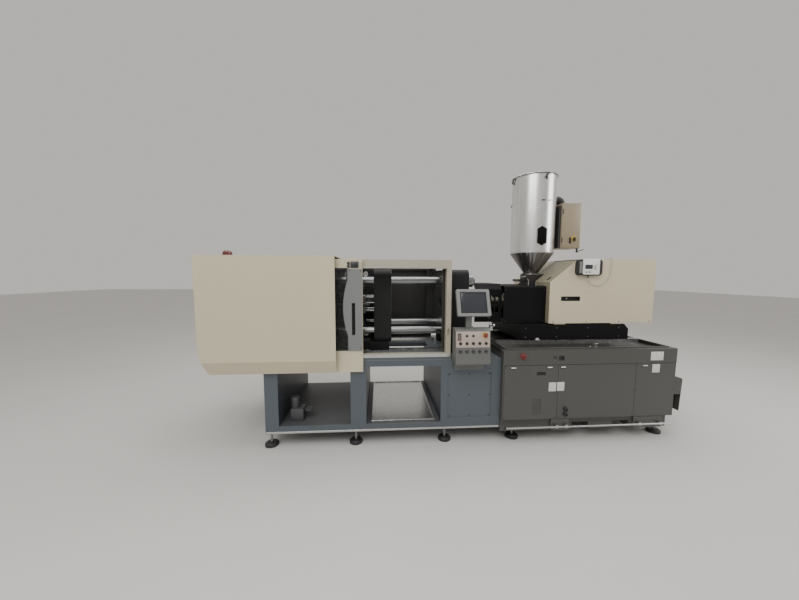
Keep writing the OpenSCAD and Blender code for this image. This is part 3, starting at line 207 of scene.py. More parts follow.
def close_mesh():
    """Turns all faces of the open piece outwards and closes it."""
    bpy.ops.mesh.select_all(action="SELECT")
    bpy.ops.mesh.normals_make_consistent(inside=False)
    bpy.ops.object.mode_set(mode="OBJECT")


def turned(rings, place, along=upwards, sides=24):
    """A turned piece: a filled ring, extruded and scaled from each (radius, height) in mm to the next."""
    clear()
    radius, height = rings[0]
    bpy.ops.mesh.primitive_circle_add(vertices=sides, radius=radius / 1000, fill_type="NGON",
                                      location=(0, 0, height / 1000))
    piece = bpy.context.object
    open_mesh()
    for wide, high in rings[1:]:
        bpy.ops.mesh.extrude_region_move(
            TRANSFORM_OT_translate={"value": (0, 0, (high - height) / 1000)})
        bpy.ops.transform.resize(value=(wide / radius, wide / radius, 1),
                                 center_override=(0, 0, high / 1000))
        radius, height = wide, high
    close_mesh()
    bpy.ops.object.transform_apply()
    turn = Vector(upwards).rotation_difference(Vector(along)).to_matrix().to_4x4()
    piece.matrix_world = Matrix.Translation(place) @ turn
    bpy.ops.object.transform_apply()
    return piece


def coat(finish, *nodes):
    """Gives a finish to pieces that come from the CAD model."""
    for name in nodes:
        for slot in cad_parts[name].material_slots:
            slot.material = finish


def fit(name, piece, finish, body="machine_base", angle=35):
    """Names and smooths a finished piece, gives it its finish and mounts it on a body of the machine."""
    pick(piece)
    piece.name = name
    bpy.ops.object.transform_apply()
    bpy.ops.object.shade_smooth_by_angle(angle=radians(angle))
    piece.data.materials.clear()
    piece.data.materials.append(finish)
    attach(piece, body)


cable_grey = moulded("cable_sheath", (0.50, 0.48, 0.42), 0.5)
rubber = moulded("black_rubber", (0.018, 0.018, 0.019), 0.55, 0.35)
cable_line = [
    (3618, 190, 1606), (3618, 190, 1590), (3622, 195, 1570), (3634, 200, 1548), (3652, 203, 1529),
    (3676, 204, 1514), (3704, 204, 1504), (3734, 204, 1501), (3764, 204, 1506), (3792, 204, 1519),
    (3817, 204, 1540), (3838, 204, 1567), (3854, 204, 1599), (3865, 204, 1634), (3871, 203, 1670),
    (3874, 202, 1706), (3875, 202, 1738), (3875, 203, 1764), (3875, 208, 1776), (3875, 217, 1782),
    (3875, 228, 1782), (3875, 237, 1776), (3875, 240, 1764),
]
cable_curve = bpy.data.curves.new("handheld_cable_sheath", "CURVE")
cable_curve.dimensions = "3D"
cable_curve.bevel_depth = 0.003
cable_curve.bevel_resolution = 3
cable_curve.resolution_u = 6
cable_curve.use_fill_caps = True
cable_spline = cable_curve.splines.new("BEZIER")
cable_spline.bezier_points.add(len(cable_line) - 1)
for point, spot in zip(cable_spline.bezier_points, cable_line):
    point.co = at(*spot)
    point.handle_left_type = point.handle_right_type = "AUTO"
cable = bpy.data.objects.new("handheld_cable_sheath", cable_curve)
bpy.context.collection.objects.link(cable)
cable.data.materials.append(cable_grey)
cable_boot = turned([(7.5, 0), (7.5, 3), (6, 5), (5.6, 14), (4.2, 24), (3.4, 26)],
                    at(3618, 190, 1607), along=(0, 0, -1))
fit("handheld_cable_boot", cable_boot, rubber, "carriage")
cable_grommet = turned([(9, 0), (9, 3), (7.5, 4.5), (4.5, 4.5), (3.2, 3.5)], at(3875, 240, 1768))
fit("cover_cable_grommet", cable_grommet, rubber, "carriage")
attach(cable, "carriage")
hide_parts("handheld_cable")
at(*cable_line[0])


# Floor and light: a plain pale floor, a bright even room and three large soft lamps: a key in front on
# the left, one above the machine and one in front on the right.
bpy.ops.mesh.primitive_plane_add(size=60)
floor = bpy.context.object
floor.name = "floor"
floor_paint, place = shader_place("floor_pale")
close_shader(place, {
    "Base Color": place.noise(1.3).tint((0.60, 0.59, 0.57, 1), (0.66, 0.65, 0.63, 1)),
    "Roughness": 0.55 + place.noise(0.3) * 0.2,
})
floor.data.materials.append(floor_paint)
bpy.context.scene.world = bpy.data.worlds.new("studio")
bpy.context.scene.world.use_nodes = True
background = bpy.context.scene.world.node_tree.nodes["Background"]
background.inputs["Color"].default_value = (1.0, 0.965, 0.91, 1)
background.inputs["Strength"].default_value = 0.60
for name, spot, size, power, aim in [
    ("key", (-2.2, -4.6, 5.6), 4.0, 245, (0.2, 0, 1.0)),
    ("top", (0.5, 0.4, 6.0), 5.0, 180, (0.2, 0, 1.0)),
    ("side", (6.5, -2.5, 3.6), 3.0, 105, (1.5, 0, 1.2)),
]:
    bpy.ops.object.light_add(type="AREA", location=spot)
    lamp = bpy.context.object
    lamp.name = name + "_light"
    lamp.data.size = size
    lamp.data.energy = power
    lamp.rotation_euler = (Vector(aim) - Vector(spot)).to_track_quat("-Z", "Y").to_euler()


# Clamp base: a welded frame of thick sheet, painted blue-grey, open on both long sides, with painted shade
# inside its openings.
# Bright steel strips along its lower edge stand in for the highlight on that edge.
def enamel(name, colour, rough=0.42, inner=None, dust=0.05, peel=0.10, gloss=0.5, dark=None):
    """Stove enamel on sheet steel: fine orange peel, cloudy dulling, dust on top and rubbed edges.

    inner gives where the paint takes a second colour, by default a darker one: mostly painted shade, such
    as inside an opening.
    """
    material, place = shader_place(name)
    facing = place.facing()
    round_off = place.soft_edge(0.0022)
    rubbed = (1 - place.node("VectorMath", {"operation": "DOT_PRODUCT"}, {0: round_off, 1: facing},
                             out="Value")) * place.noise(0.11, 5.0) * 3.2
    cloud = place.noise(0.55, 5.0)
    drips = place.noise(0.035, 4.0, stretch=(1, 1, 0.12))
    shade = (cloud * 0.55 + drips * 0.3).clamped()
    paint = shade.tint(scaled(colour, 0.90), scaled(colour, 1.05))
    if inner:
        dark = dark or (colour[0] * 0.35, colour[1] * 0.35, colour[2] * 0.42, 1)
        paint = inner(place).tint(paint, dark)
    dusty = ((facing.part(2) > 0.75) * dust * cloud * 2).clamped()
    paint = dusty.tint(paint, (0.42, 0.40, 0.36, 1))
    close_shader(place, {
        "Base Color": rubbed.clamped().tint(paint, scaled(colour, 1.25, 0.03)),
        "Roughness": rough + (cloud - 0.5) * 0.14 + dusty * 0.3,
        "Specular IOR Level": gloss,
        "Coat Weight": 0.24 * gloss,
        "Coat Roughness": 0.25,
        "Normal": place.noise(0.0035, 2.0).bumps(peel, 0.0006, round_off),
    })
    return material


def ground_steel(name, colour, rough=0.28, run=(1, 30, 30)):
    """Machined steel: fine tool marks along one way, an oily cloudiness, soft edges."""
    material, place = shader_place(name)
    marks = place.noise(0.012, 4.0, stretch=run)
    film = place.noise(0.09, 4.0)
    close_shader(place, {
        "Base Color": (film * 0.9).clamped().tint(scaled(colour, 0.78), scaled(colour, 1)),
        "Metallic": 1.0,
        "Roughness": rough + (marks - 0.5) * 0.18 + (film - 0.5) * 0.12,
        "Normal": marks.bumps(0.08, 0.0003, place.soft_edge(0.0012)),
    })
    return material


machine_stand = Matrix.Translation(at(0, 0, 0))


def block(low, high, edge=2.0, segments=2, stand=machine_stand):
    """A block between two corners in mm, its edges broken by a bevel. stand is the frame it is drawn in."""
    clear()
    low, high = Vector(low), Vector(high)
    bpy.ops.mesh.primitive_cube_add(size=0.001)
    piece = bpy.context.object
    piece.location = (low + high) / 2000
    piece.scale = high - low
    bpy.ops.object.transform_apply()
    open_mesh()
    bpy.ops.mesh.bevel(offset=edge / 1000, segments=segments, affect="EDGES")
    bpy.ops.object.mode_set(mode="OBJECT")
    piece.matrix_world = stand
    bpy.ops.object.transform_apply()
    return piece


def pick_faces(piece, wanted):
    """Opens a piece for editing, with only those faces picked whose normal is wanted."""
    pick(piece)
    bpy.ops.object.mode_set(mode="EDIT")
    mesh = bmesh.from_edit_mesh(piece.data)
    for face in mesh.faces:
        face.select = wanted(face.normal)
    bmesh.update_edit_mesh(piece.data)


def sunk(piece, way, rim, depth):
    """Insets the faces that look one way by a rim and pushes them in by a depth, both in mm."""
    pick_faces(piece, lambda normal: normal.dot(Vector(way)) > 0.99)
    bpy.ops.mesh.inset(thickness=rim / 1000)
    bpy.ops.mesh.extrude_region_move(TRANSFORM_OT_translate={"value": Vector(way) * -depth / 1000})
    bpy.ops.object.mode_set(mode="OBJECT")
    return piece


def joined(pieces):
    """Several pieces of one kind made one."""
    clear()
    for piece in pieces:
        piece.select_set(True)
    bpy.context.view_layer.objects.active = pieces[0]
    bpy.ops.object.join()
    return pieces[0]


def repeated(piece, moves):
    """One modelled piece, copied by each move in mm, the copies joined with it."""
    copies = [piece]
    for move in moves:
        copy = piece.copy()
        copy.data = piece.data.copy()
        bpy.context.collection.objects.link(copy)
        copy.location = Vector(move) / 1000
        copies.append(copy)
    return joined(copies)


def cap_screws(name, places, along, radius=6.5, height=5, body="machine_base"):
    """Socket button screws on a body, given by their places in mm and the way they stick out."""
    first = turned([(radius, -0.5), (radius, height * 0.35), (radius * 0.8, height * 0.8),
                    (radius * 0.5, height), (radius * 0.44, height), (radius * 0.40, height * 0.45)],
                   at(*places[0]), along, sides=12)
    fit(name, repeated(first, [Vector(p) - Vector(places[0]) for p in places[1:]]), black_oxide, body)


# Inside the openings the blue-grey is darkened: painted shade.
base_grey = enamel("base_blue_grey", (0.078, 0.094, 0.110), 0.48, dust=0.15,
                   inner=lambda place: place.between(62, 1138) * (place.part(2) < 0.80))
coat(base_grey, "clamp_base")
plain_steel = ground_steel("ground_steel", (0.66, 0.66, 0.65))
# These bright steel strips stand in for the highlight along the base's lower edges.
fit("base_edge_highlight_strips", joined([
    block((508, 48.4, 145), (2694, 50.2, 163), 0.8, 1),
    block((508, 1149.8, 145), (2694, 1151.6, 163), 0.8, 1),
]), plain_steel)
black_oxide = ground_steel("black_screws", (0.10, 0.10, 0.105), 0.38)
cap_screws("base_panel_screws", [
    (x, 55.9, z) for x in (2204, 2400, 2596) for z in (266, 470, 674)], to_front)

# Drip pan under the mould: folded bright sheet that lies on the sill of the right opening.
fit("drip_pan", sunk(block((1470, 90, 211.5), (2080, 1110, 226), 1.5, 1), upwards, 8, 11), plain_steel)

# Lubrication pump on the floor of the left opening: a cast body, its motor and the seat of its oil jar.
motor_paint = enamel("motor_grey", (0.060, 0.062, 0.066), 0.45, peel=0.3)
fit("lube_pump", joined([
    block((700, 150, 211.5), (820, 260, 330), 5, 2),
    turned([(38, 0), (42, 6), (42, 96), (34, 104)], at(735, 205, 329)),
    turned([(40, 0), (40, 12), (34, 14)], at(860, 205, 300)),
    block((815, 190, 290), (880, 220, 304), 2, 1),
]), motor_paint)

# Levelling feet: forged pads on rubber, each with a stud and a lock nut.
foot_finish, place = shader_place("foot_black")
stud = place.part(2) > 0.036
close_shader(place, {
    "Base Color": stud.tint((0.022, 0.022, 0.023, 1), (0.30, 0.30, 0.29, 1)),
    "Metallic": stud * 0.9,
    "Roughness": 0.42 + place.noise(0.02) * 0.2,
    "Normal": place.noise(0.004).bumps(0.3, 0.0008),
})
coat(foot_finish, "levelling_feet")


# Injection base: a cabinet of folded sheet, painted warm dark grey, with a drip tray sunk in its top.
# Screwed covers close both long sides, and a plinth stands back below.
cabinet_grey = enamel("cabinet_grey", (0.068, 0.066, 0.062), 0.42, dust=0.15)
coat(cabinet_grey, "cabinet_covers", "side_duct")
# Inside the drip tray on top of the injection base the grey turns near-black: painted shade under the
# carriage.
coat(enamel("cabinet_grey_shaded_tray", (0.066, 0.064, 0.059), 0.42, dust=0.01,
            inner=lambda place: place.between(62, 1138) * (place.part(2) > 0.870),
            dark=(0.022, 0.021, 0.020, 1)), "injection_base")
seam_and_shadow_black = moulded("seam_and_shadow_black", (0.010, 0.010, 0.010), 0.7)
# A thin black strip under the front band's lower edge: a painted shadow line.
fit("band_shadow_line", block((2704, -0.6, 763.6), (4426, 1.5, 766.4), 0.5, 1), seam_and_shadow_black)
fit("tray_lip", joined([block(low, high, 1.5, 2) for low, high in (
    ((2744, 50, 903), (4386, 60, 917)), ((2744, 1140, 903), (4386, 1150, 917)),
    ((2740, 50, 903), (2750, 1150, 917)), ((4380, 50, 903), (4390, 1150, 917)))]), cabinet_grey)

# Latches of the covers: a black cup in each slot, with a white spring tongue over its upper half. In
# front, plugs close three slots, and one latch sits beside its slot.
seams = [2712, 3238, 4018, 4428]
slots = [x for left, right in zip(seams, seams[1:]) for x in (left + 61.5, right - 111.5)]
plugged = (slots[2], slots[3], slots[5])
cups, tongues, plugs = [], [], []
for x in slots:
    for cup_front, cup_rear, tongue_y in ((-2, 6, -6), (1194, 1202, 1202)):
        if cup_front < 0 and x in plugged:
            plugs.append(block((x + 0.4, -0.4, 728.4), (x + 49.6, 6, 741.6), 0.4, 1))
        else:
            cups.append(block((x + 0.6, cup_front, 728.6), (x + 49.4, cup_rear, 741.4), 0.8, 1))
            tongues.append(block((x + 2, tongue_y, 737), (x + 48, tongue_y + 4, 747), 1.2, 2))
cups.append(block((3257, -1.2, 728), (3309, 0.6, 741), 0.5, 1))
tongues.append(block((3260, -5, 737), (3306, -1, 747), 1.2, 2))
fit("cover_slot_plugs", joined(plugs), cabinet_grey)
fit("cover_latch_cups", joined(cups), seam_and_shadow_black)
white_paint = moulded("white_lacquer", (0.80, 0.79, 0.76), 0.35, 0.1)
fit("cover_latch_tongues", joined(tongues), white_paint)
cap_screws("cabinet_screws", [
    (x, 0.2, z) for left, right in zip(seams, seams[1:]) for x in (left + 16, right - 16)
    for z in (252, 500, 746)], to_front, 5, 3)

# Fittings on the front band: main switch with its red knob, a round service plug, a black socket.
red_plastic = moulded("red_plastic", (0.16, 0.028, 0.026), 0.42)
fit("main_switch", joined([
    turned([(31, 0), (31, 5), (25, 7), (24, 20), (21, 24), (8, 24)], at(2888, 0, 850), to_front, 32),
    block((2882, -37, 828), (2894, -20, 872), 3, 2),
]), red_plastic)
fit("service_plug", turned([(15, 0), (15, 4), (12, 9), (12, 12), (8.5, 12), (8.5, 6), (3, 6)],
                           at(3205, 0, 840), to_front), motor_paint)
fit("service_socket", sunk(block((3241, -4, 809), (3291, 8, 851), 2.5), to_front, 5, 9), rubber)

# Cable glands low in the middle cover: two round black nuts, one above the other.
gland = turned([(23, 0), (23, 5), (20, 7), (18, 18), (14, 21), (9, 21), (8, 12)],
               at(3325, 0, 331), to_front, 16)
fit("cover_glands", repeated(gland, [(0, 0, -52)]), rubber)

# Flush handle of the left cover, and the bare light plates that are riveted to the cabinet.
fit("cover_flush_grip", sunk(block((3029, -2.4, 668), (3113, 0.6, 697), 1.2, 2), to_front, 4, 2),
    seam_and_shadow_black)
plate_finish, place = shader_place("bare_plate")
close_shader(place, {
    "Base Color": place.noise(0.03, 4.0).tint((0.60, 0.58, 0.53, 1), (0.74, 0.73, 0.69, 1)),
    "Roughness": 0.32 + place.noise(0.06) * 0.25,
    "Metallic": 0.15,
})
fit("blank_plates", joined([
    block((left, -1.6, low), (right, 0.2, high), 0.7, 2) for left, right, low, high in (
        (4158, 4287, 792, 876), (4181, 4258, 672, 753), (3149, 3221, 508, 594), (3231, 3302, 510, 596))
]), plate_finish)

# Pipe rail: drawn galvanised pipe in clamps, on two plates that are painted dark grey.
pipe_finish, place = shader_place("pipe_and_plates")
plate_part = place.part(1) > at(0, -1, 0).y
close_shader(place, {
    "Base Color": plate_part.tint(place.noise(0.05, 4.0).tint((0.48, 0.48, 0.47, 1), (0.60, 0.61, 0.62, 1)),
                                  (0.105, 0.102, 0.096, 1)),
    "Metallic": 1.0 - plate_part * 0.8,
    "Roughness": 0.36 + place.noise(0.02) * 0.12,
})
coat(pipe_finish, "base_pipe")
fit("pipe_end_caps", turned([(10.5, 0), (10.5, 10), (9, 12), (4, 12)], at(2740, -14, 160), (-1, 0, 0)),
    rubber)


# Clamp housing: ivory enamelled sheet, folded at the top and leaning inwards at the skirt, bolted to
# the door frame. The end wall breathes through pressed louvres.
ivory, door_frame_ivory = (0.610, 0.545, 0.390), (0.42, 0.385, 0.295)
cover_coat = {"rough": 0.36, "dust": 0.06, "peel": 0.06}
cream = enamel("cover_cream", ivory, **cover_coat)
coat(cream, "front_clamp_cover", "rear_clamp_cover", "end_clamp_cover", "front_door")
# Near-black painted shade for what faces into the mould area: the door frame behind its front and the rear
# door's inner face.
painted_inside_shade = (0.020, 0.020, 0.018, 1)
coat(enamel("frame_cream", door_frame_ivory, inner=lambda place: place.between(112, 1148),
            dark=painted_inside_shade, **cover_coat), "door_frame")
coat(enamel("rear_door_cream", ivory, inner=lambda place: place.part(1) < at(0, 1156, 0).y,
            dark=painted_inside_shade, **cover_coat), "rear_door")


def louvre(low, high, out):
    """A pressed louvre hood over a slot, between two corners. out is the way that it stands out."""
    hood = block(low, high, 1.5, 2)
    pick(hood)
    bpy.ops.object.mode_set(mode="EDIT")
    mesh = bmesh.from_edit_mesh(hood.data)
    middle = at(*((Vector(low) + Vector(high)) / 2))
    for vertex in mesh.verts:
        vertex.select = (vertex.co - middle).dot(Vector(out)) > 0 and vertex.co.z < middle.z
    mesh.select_flush_mode()
    bmesh.update_edit_mesh(hood.data)
    bpy.ops.transform.translate(value=(0, 0, -0.004))
    bpy.ops.object.mode_set(mode="OBJECT")
    return hood


fit("end_louvres", repeated(louvre((0, 330, 1158), (4.2, 870, 1166), (-1, 0, 0)),
                            [(0, 0, 30 * i) for i in range(1, 10)]), cream)
cap_screws("housing_screws", [
    (x, y, 1768) for x in (60, 420, 780, 1130) for y in (284, 916)], upwards, 6, 3.5)
cap_screws("end_cover_screws", [
    (0.2, y, z) for y in (20, 1180) for z in (1000, 1330, 1660)], (-1, 0, 0), 6, 0.1)
fit("lid_grips", repeated(block((240, 560, 1767), (380, 590, 1782), 4, 3), [(560, 0, 0)]), seam_and_shadow_black)

# Beacon: a dark red translucent dome on a low collar.
beacon_finish, place = shader_place("beacon_red")
on_beacon = place.node("Mapping", {}, {"Vector": place, "Location": -at(190, 150, 0)})
lens_rings = on_beacon.node("TexWave", {"wave_type": "RINGS", "rings_direction": "Z"},
                            {"Vector": on_beacon, "Scale": 60.0})
close_shader(place, {
    "Base Color": place.noise(0.01).tint((0.085, 0.010, 0.008, 1), (0.14, 0.014, 0.012, 1)),
    "Roughness": 0.12 + place.noise(0.02) * 0.12,
    "Coat Weight": 0.6,
    "Normal": lens_rings.bumps(0.5, 0.002),
})
coat(beacon_finish, "warning_beacon")


# Door frame: posts, beams and rails of square tube round the mould. The doors hang on the upper beam,
# behind a bright guide, and slide on a bright strip along the lower rail.
fit("door_guides", joined([
    block((570, 47.2, 862), (2200, 52, 876.5), 0.6, 1),
    block((1400, 49.75, 846), (2208, 50.4, 863), 0.1, 1),
    block((1400, 47.8, 1664.5), (2164, 50.2, 1676), 0.6, 1),
    block((570, 1148, 868), (2200, 1153, 876.5), 0.6, 1),
]), plain_steel)
# A blue-grey strip over the lower rail's face below the bright strip: painted shade.
fit("rail_shade_strip", block((1400, 49.75, 821), (2208, 50.4, 845.5), 0.1, 1), base_grey)
# A black strip at the back beside the fixed platen: a dark sheet that stands in for shade there.
fit("rear_shade_strip", block((2186, 1042.6, 904), (2256, 1046, 1680), 1, 1), rubber)
fit("door_latch", turned([(15, 0), (15, 9), (11, 12), (11, 16), (4, 16)],
                         at(2165, 130, 1020), to_front), rubber)
fit("door_lock_switch", joined([
    block((2166, 90, 1676), (2206, 128, 1716), 3, 2),
    block((2172, 70, 1688), (2200, 91, 1706), 2, 2),
]), seam_and_shadow_black)

# Front door: sheet frame, clear window in a black gasket, moulded handle plate with its recess, and
# its hangers.
window_glass, place = shader_place("window_clear")
close_shader(place, {
    "Base Color": place.noise(0.4, 3.0).tint((0.030, 0.034, 0.032, 1), (0.050, 0.054, 0.052, 1)),
    "Roughness": 0.06 + place.noise(0.12) * 0.10,
    "Alpha": 0.30,
    "Specular IOR Level": 0.25,
})
coat(window_glass, "front_door_window")


def window_gasket(name, front, rear):
    """A flat rubber frame round the window's edge, between two y places in mm."""
    left, right, low, high, wide = 433, 1271, 924, 1666, 14
    fit(name, joined([block((x0, front, z0), (x1, rear, z1), 1, 2) for x0, x1, z0, z1 in (
        (left, left + wide, low, high), (right - wide, right, low, high),
        (left, right, low, low + wide), (left, right, high - wide, high))]), rubber, "front_door")


window_gasket("window_gasket", 15.5, 19.5)
window_gasket("window_gasket_inner", 44.5, 47.0)
door_grey = (0.185, 0.190, 0.190)
handle_plastic = moulded("handle_grey", door_grey, 0.46, 0.3)
coat(enamel("handle_panel_grey", door_grey, 0.46, dust=0.04, peel=0.25, dark=door_frame_ivory + (1,),
            inner=lambda place: place.part(2) > at(0, 0, 1657).z), "door_handle_panel")
fit("door_pull_lining", joined([
    block((1304, 29.6, 1067), (1332, 33.6, 1355), 1, 1),
    block((1309, 10, 1085), (1316, 31, 1337), 3, 3),
]), seam_and_shadow_black, "front_door")
hanger_plates = joined([
    block((1296, 4.8, 1666), (1366, 8.9, 1724), 2, 2),
    block((1270, 5.2, 1668), (1286, 8.9, 1722), 2, 2),
])
hanger_wheel = turned([(11, 0), (12, 1), (12, 6), (10, 8), (4, 8)],
                      at(1278, 5.4, 1708), to_front)
fit("door_lock_hangers", joined([hanger_plates, repeated(hanger_wheel, [(0, 0, -28), (76, 0, -10)])]),
    black_oxide, "front_door")
cap_screws("handle_plate_screws", [
    (x, 8.9, z) for x in (1285, 1383) for z in (950, 1645)], to_front, 5.5, 3, body="front_door")

# Rear door: the same frame without a window, with a lined pull.
fit("rear_pull_lining", block((1264, 1166, 1067), (1292, 1169, 1355), 1, 1), seam_and_shadow_black, "rear_door")


# Control box: sheet steel with a leaning face. Its upper part is a pale key plate with the keys and the
# stop button; selectors sit on the plain grey below.
coat(enamel("panel_grey", (0.122, 0.125, 0.122), 0.45, peel=0.25, dust=0.1), "control_box")

# The box's leaning face in mm: its lower left corner, and its width, lean, height and sloping length.
face_left, face_front, face_low = 2222, -96, 817
face_wide, face_back, face_high, face_long = 316, 24, 294, 295
lean = atan(face_back / face_high)


def leaning(angle):
    """Turns a flat drawing, x to the right and y up, onto a face that leans back by an angle."""
    return Matrix(((1, 0, 0, 0), (0, sin(angle), -cos(angle), 0),
                   (0, cos(angle), sin(angle), 0), (0, 0, 0, 1)))


def face_spot(across, up):
    """A place on the control box's face, by its shares of the width and of the height."""
    return at(face_left + across * face_wide, face_front + up * face_back, face_low + up * face_high)


def key_spot(column, up):
    """The middle of a key, by its column from the left and its share of the height."""
    return face_spot(0.14 + 0.184 * column, up)


def face_plate(low, high, thick):
    """A flat plate on the leaning face, its corners given as shares of the width and height."""
    return block((low[0] * face_wide, low[1] * face_long, -0.5),
                 (high[0] * face_wide, high[1] * face_long, thick), 0.8,
                 stand=Matrix.Translation(face_spot(0, 0)) @ leaning(lean))


out_of_face = Vector((0, -cos(lean), sin(lean)))
key_plate_finish = moulded("key_plate_rose", (0.45, 0.375, 0.32), 0.5, 0.15)
fit("key_plate", face_plate((0.015, 0.50), (0.985, 0.985), 1.2), key_plate_finish)
fit("key_bezels", joined([
    turned(profile, key_spot(column, up), out_of_face) for profile, up, columns in (
        ([(14.5, 0), (14.5, 2.5), (13, 4), (11.6, 4), (11.6, 0)], 0.62, range(5)),
        ([(12, 0), (12, 2.5), (10.5, 4), (9.4, 4), (9.4, 0)], 0.85, (1, 2)),
        ([(17, -0.5), (17, 2), (15, 3.5), (12.6, 3.5), (12.6, 0)], 0.38, range(5)))
    for column in columns]), motor_paint)
stop_yellow = moulded("switch_yellow", (0.48, 0.33, 0.05), 0.35, 0.1)
fit("stop_ring", turned([(27, 0), (27, 2), (24, 3.4), (13, 3.4), (12, 0)],
                        face_spot(0.85, 0.87), out_of_face, 40), stop_yellow)
coat(moulded("stop_red", (0.19, 0.042, 0.032), 0.36, 0.1), "emergency_stop")
key_black = moulded("button_black", (0.016, 0.016, 0.017), 0.30, 0.1)
coat(key_black, *["push_button_%d" % i for i in range(1, 6)])
caps = [turned([(8.6, 6), (8.6, 8.4), (7, 9.4), (3, 9.4)], key_spot(i, 0.85), out_of_face)
        for i in (1, 2)]
for i in range(5):
    spot = key_spot(i, 0.38)
    caps.append(turned([(12.4, 8), (12.4, 10), (11, 10.8), (4, 10.8)], spot, out_of_face))
    caps.append(turned([(3.4, 14.6), (3.4, 15.4), (2.5, 15.8)], spot, out_of_face, 8))
fit("key_caps", joined(caps), key_black)
fit("key_switch_frame", joined([face_plate(low, high, 6.5) for low, high in (
    ((0.058, 0.715), (0.070, 0.925)), ((0.150, 0.715), (0.162, 0.925)),
    ((0.058, 0.715), (0.162, 0.730)), ((0.058, 0.910), (0.162, 0.925)))]), red_plastic)

# Screen: a light grey moulded housing with a sunk dark display behind glass, on a swivelling foot.
coat(moulded("screen_case", (0.205, 0.210, 0.205), 0.48, 0.2), "screen")
screen_turn = leaning(radians(20))
screen_stand = Matrix.Translation(at(2240, -48, 1235)) @ screen_turn
display_glass, place = shader_place("display_glass")
close_shader(place, {
    "Base Color": place.noise(0.2).tint((0.022, 0.025, 0.032, 1), (0.034, 0.037, 0.045, 1)),
    "Roughness": 0.10 + place.noise(0.05) * 0.1,
    "Coat Weight": 0.15,
})
fit("display_glass_pane", block((30.5, 26.5, 29.5), (271.5, 221.5, 31.4), 0.6, stand=screen_stand),
    display_glass, "screen")
fit("display_border", sunk(block((30.2, 26.2, 30.5), (271.8, 221.8, 32.6), 0.6,
                                 stand=screen_stand), screen_turn.col[2][:3], 9, 1.9), seam_and_shadow_black, "screen")
fit("air_valve", joined([
    turned([(14, 0), (16, 3), (16, 34), (10, 38), (10, 50), (6, 52)], at(2575, 20, 1120)),
    turned([(7, 0), (7, 26), (11, 28), (11, 40), (5, 42)], at(2575, 10, 1145), (0.3, -1, 0.25)),
    block((2556, 18, 1096), (2594, 50, 1122), 2, 2),
]), plain_steel)


# Platens, toggle and clamp drive: castings painted dark with ground faces, hard chromed bars and rods,
# pins held by keeper plates on the outer lugs.
def casting(name, colour, ground_x=None):
    """Painted cast iron: a sandy skin and oily patches, and a bright ground face at an x place in mm."""
    material, place = shader_place(name)
    cloud = place.noise(0.16, 5.0)
    paint = cloud.tint(scaled(colour, 0.75), scaled(colour, 1.2))
    rough = 0.46 + (cloud - 0.5) * 0.25
    ground = 0.0
    if ground_x:
        ground = (place.part(0) > at(ground_x - 0.6, 0, 0).x) * (place.part(0) < at(ground_x + 0.6, 0, 0).x)
        paint = ground.tint(paint, (0.42, 0.42, 0.41, 1))
        rough = rough - ground * 0.14
    close_shader(place, {
        "Base Color": paint,
        "Roughness": rough,
        "Metallic": ground,
        "Specular IOR Level": 0.22,
        "Normal": place.noise(0.004, 3.0).bumps(0.35, 0.0008, place.soft_edge(0.003)),
    })
    return material


coat(casting("dark_iron", (0.036, 0.038, 0.041)), "tail_platen", "tail_nuts", "crosshead", "feed_block",
     "injection_frame", "pusher_plate")
# The platens' iron is darker than the other castings: partly their own dark paint, partly painted shade of
# the mould area.
coat(casting("moving_platen_iron", (0.013, 0.0135, 0.014), 1665), "moving_platen")
coat(casting("fixed_platen_iron", (0.016, 0.0165, 0.0175), 2220), "fixed_platen")
coat(casting("link_iron", (0.075, 0.078, 0.082)), "rear_links_upper", "rear_links_lower",
     "front_links_upper", "front_links_lower", "crosshead_link_upper", "crosshead_link_lower")
# This chrome is darker than bare chrome: painted shade, for the dim tie bars in the mould area; the ball
# screws and ejector plate share it.
coat(ground_steel("chrome_bar", (0.30, 0.31, 0.31), 0.24, run=(0.2, 14, 14)), "tie_bars",
     "clamp_ball_screw", "injection_ball_screw", "ejector_plate")
coat(plain_steel, "slide_ways", "ball_nut", "plasticizing_screw")
coat(motor_paint, "clamp_motor", "ejector_motor", "injection_motor")
clamp_z = 1300


def pin_keepers(x, half_width):
    """Keeper plates with two screws over the ends of the four toggle pins at an x place in mm."""
    pieces = []
    for rise in (-310, 310):
        for side in (-1, 1):
            face = at(x, middle_y + side * half_width, clamp_z + rise)
            pieces.append(turned([(27, 0), (27, 4), (25, 5.5), (9, 5.5), (8, 3.5)],
                                 face, (0, side, 0), 20))
            for turn in (-15, 15):
                pieces.append(turned([(5, 5), (5, 8), (4, 9.5), (2, 9.5)],
                                     face + Vector((turn / 1000, 0, 0)), (0, side, 0), 8))
    return joined(pieces)


fit("tail_pin_keepers", pin_keepers(1215, 165), plain_steel, "tail")
fit("moving_pin_keepers", pin_keepers(1405, 120), plain_steel, "moving_platen")
bar_caps = turned([(30, 0), (30, 5), (27, 8), (12, 8), (10, 3)],
                  at(2502, 330, 1050), (1, 0, 0))
fit("tie_bar_caps", repeated(bar_caps, [(0, 540, 0), (0, 0, 500), (0, 540, 500)]), black_oxide)
cap_screws("clamp_drive_screws", [
    (905, y, z) for y in (400, 430, 770, 800) for z in (1165, 1435)], (-1, 0, 0), 11, 9, body="tail")
bolt_circle = 112
cap_screws("clamp_motor_screws", [
    (670, middle_y + bolt_circle * cos(a), clamp_z + bolt_circle * sin(a))
    for a in [radians(22.5 + 45 * i) for i in range(8)]], (-1, 0, 0), 7, 6, "tail")

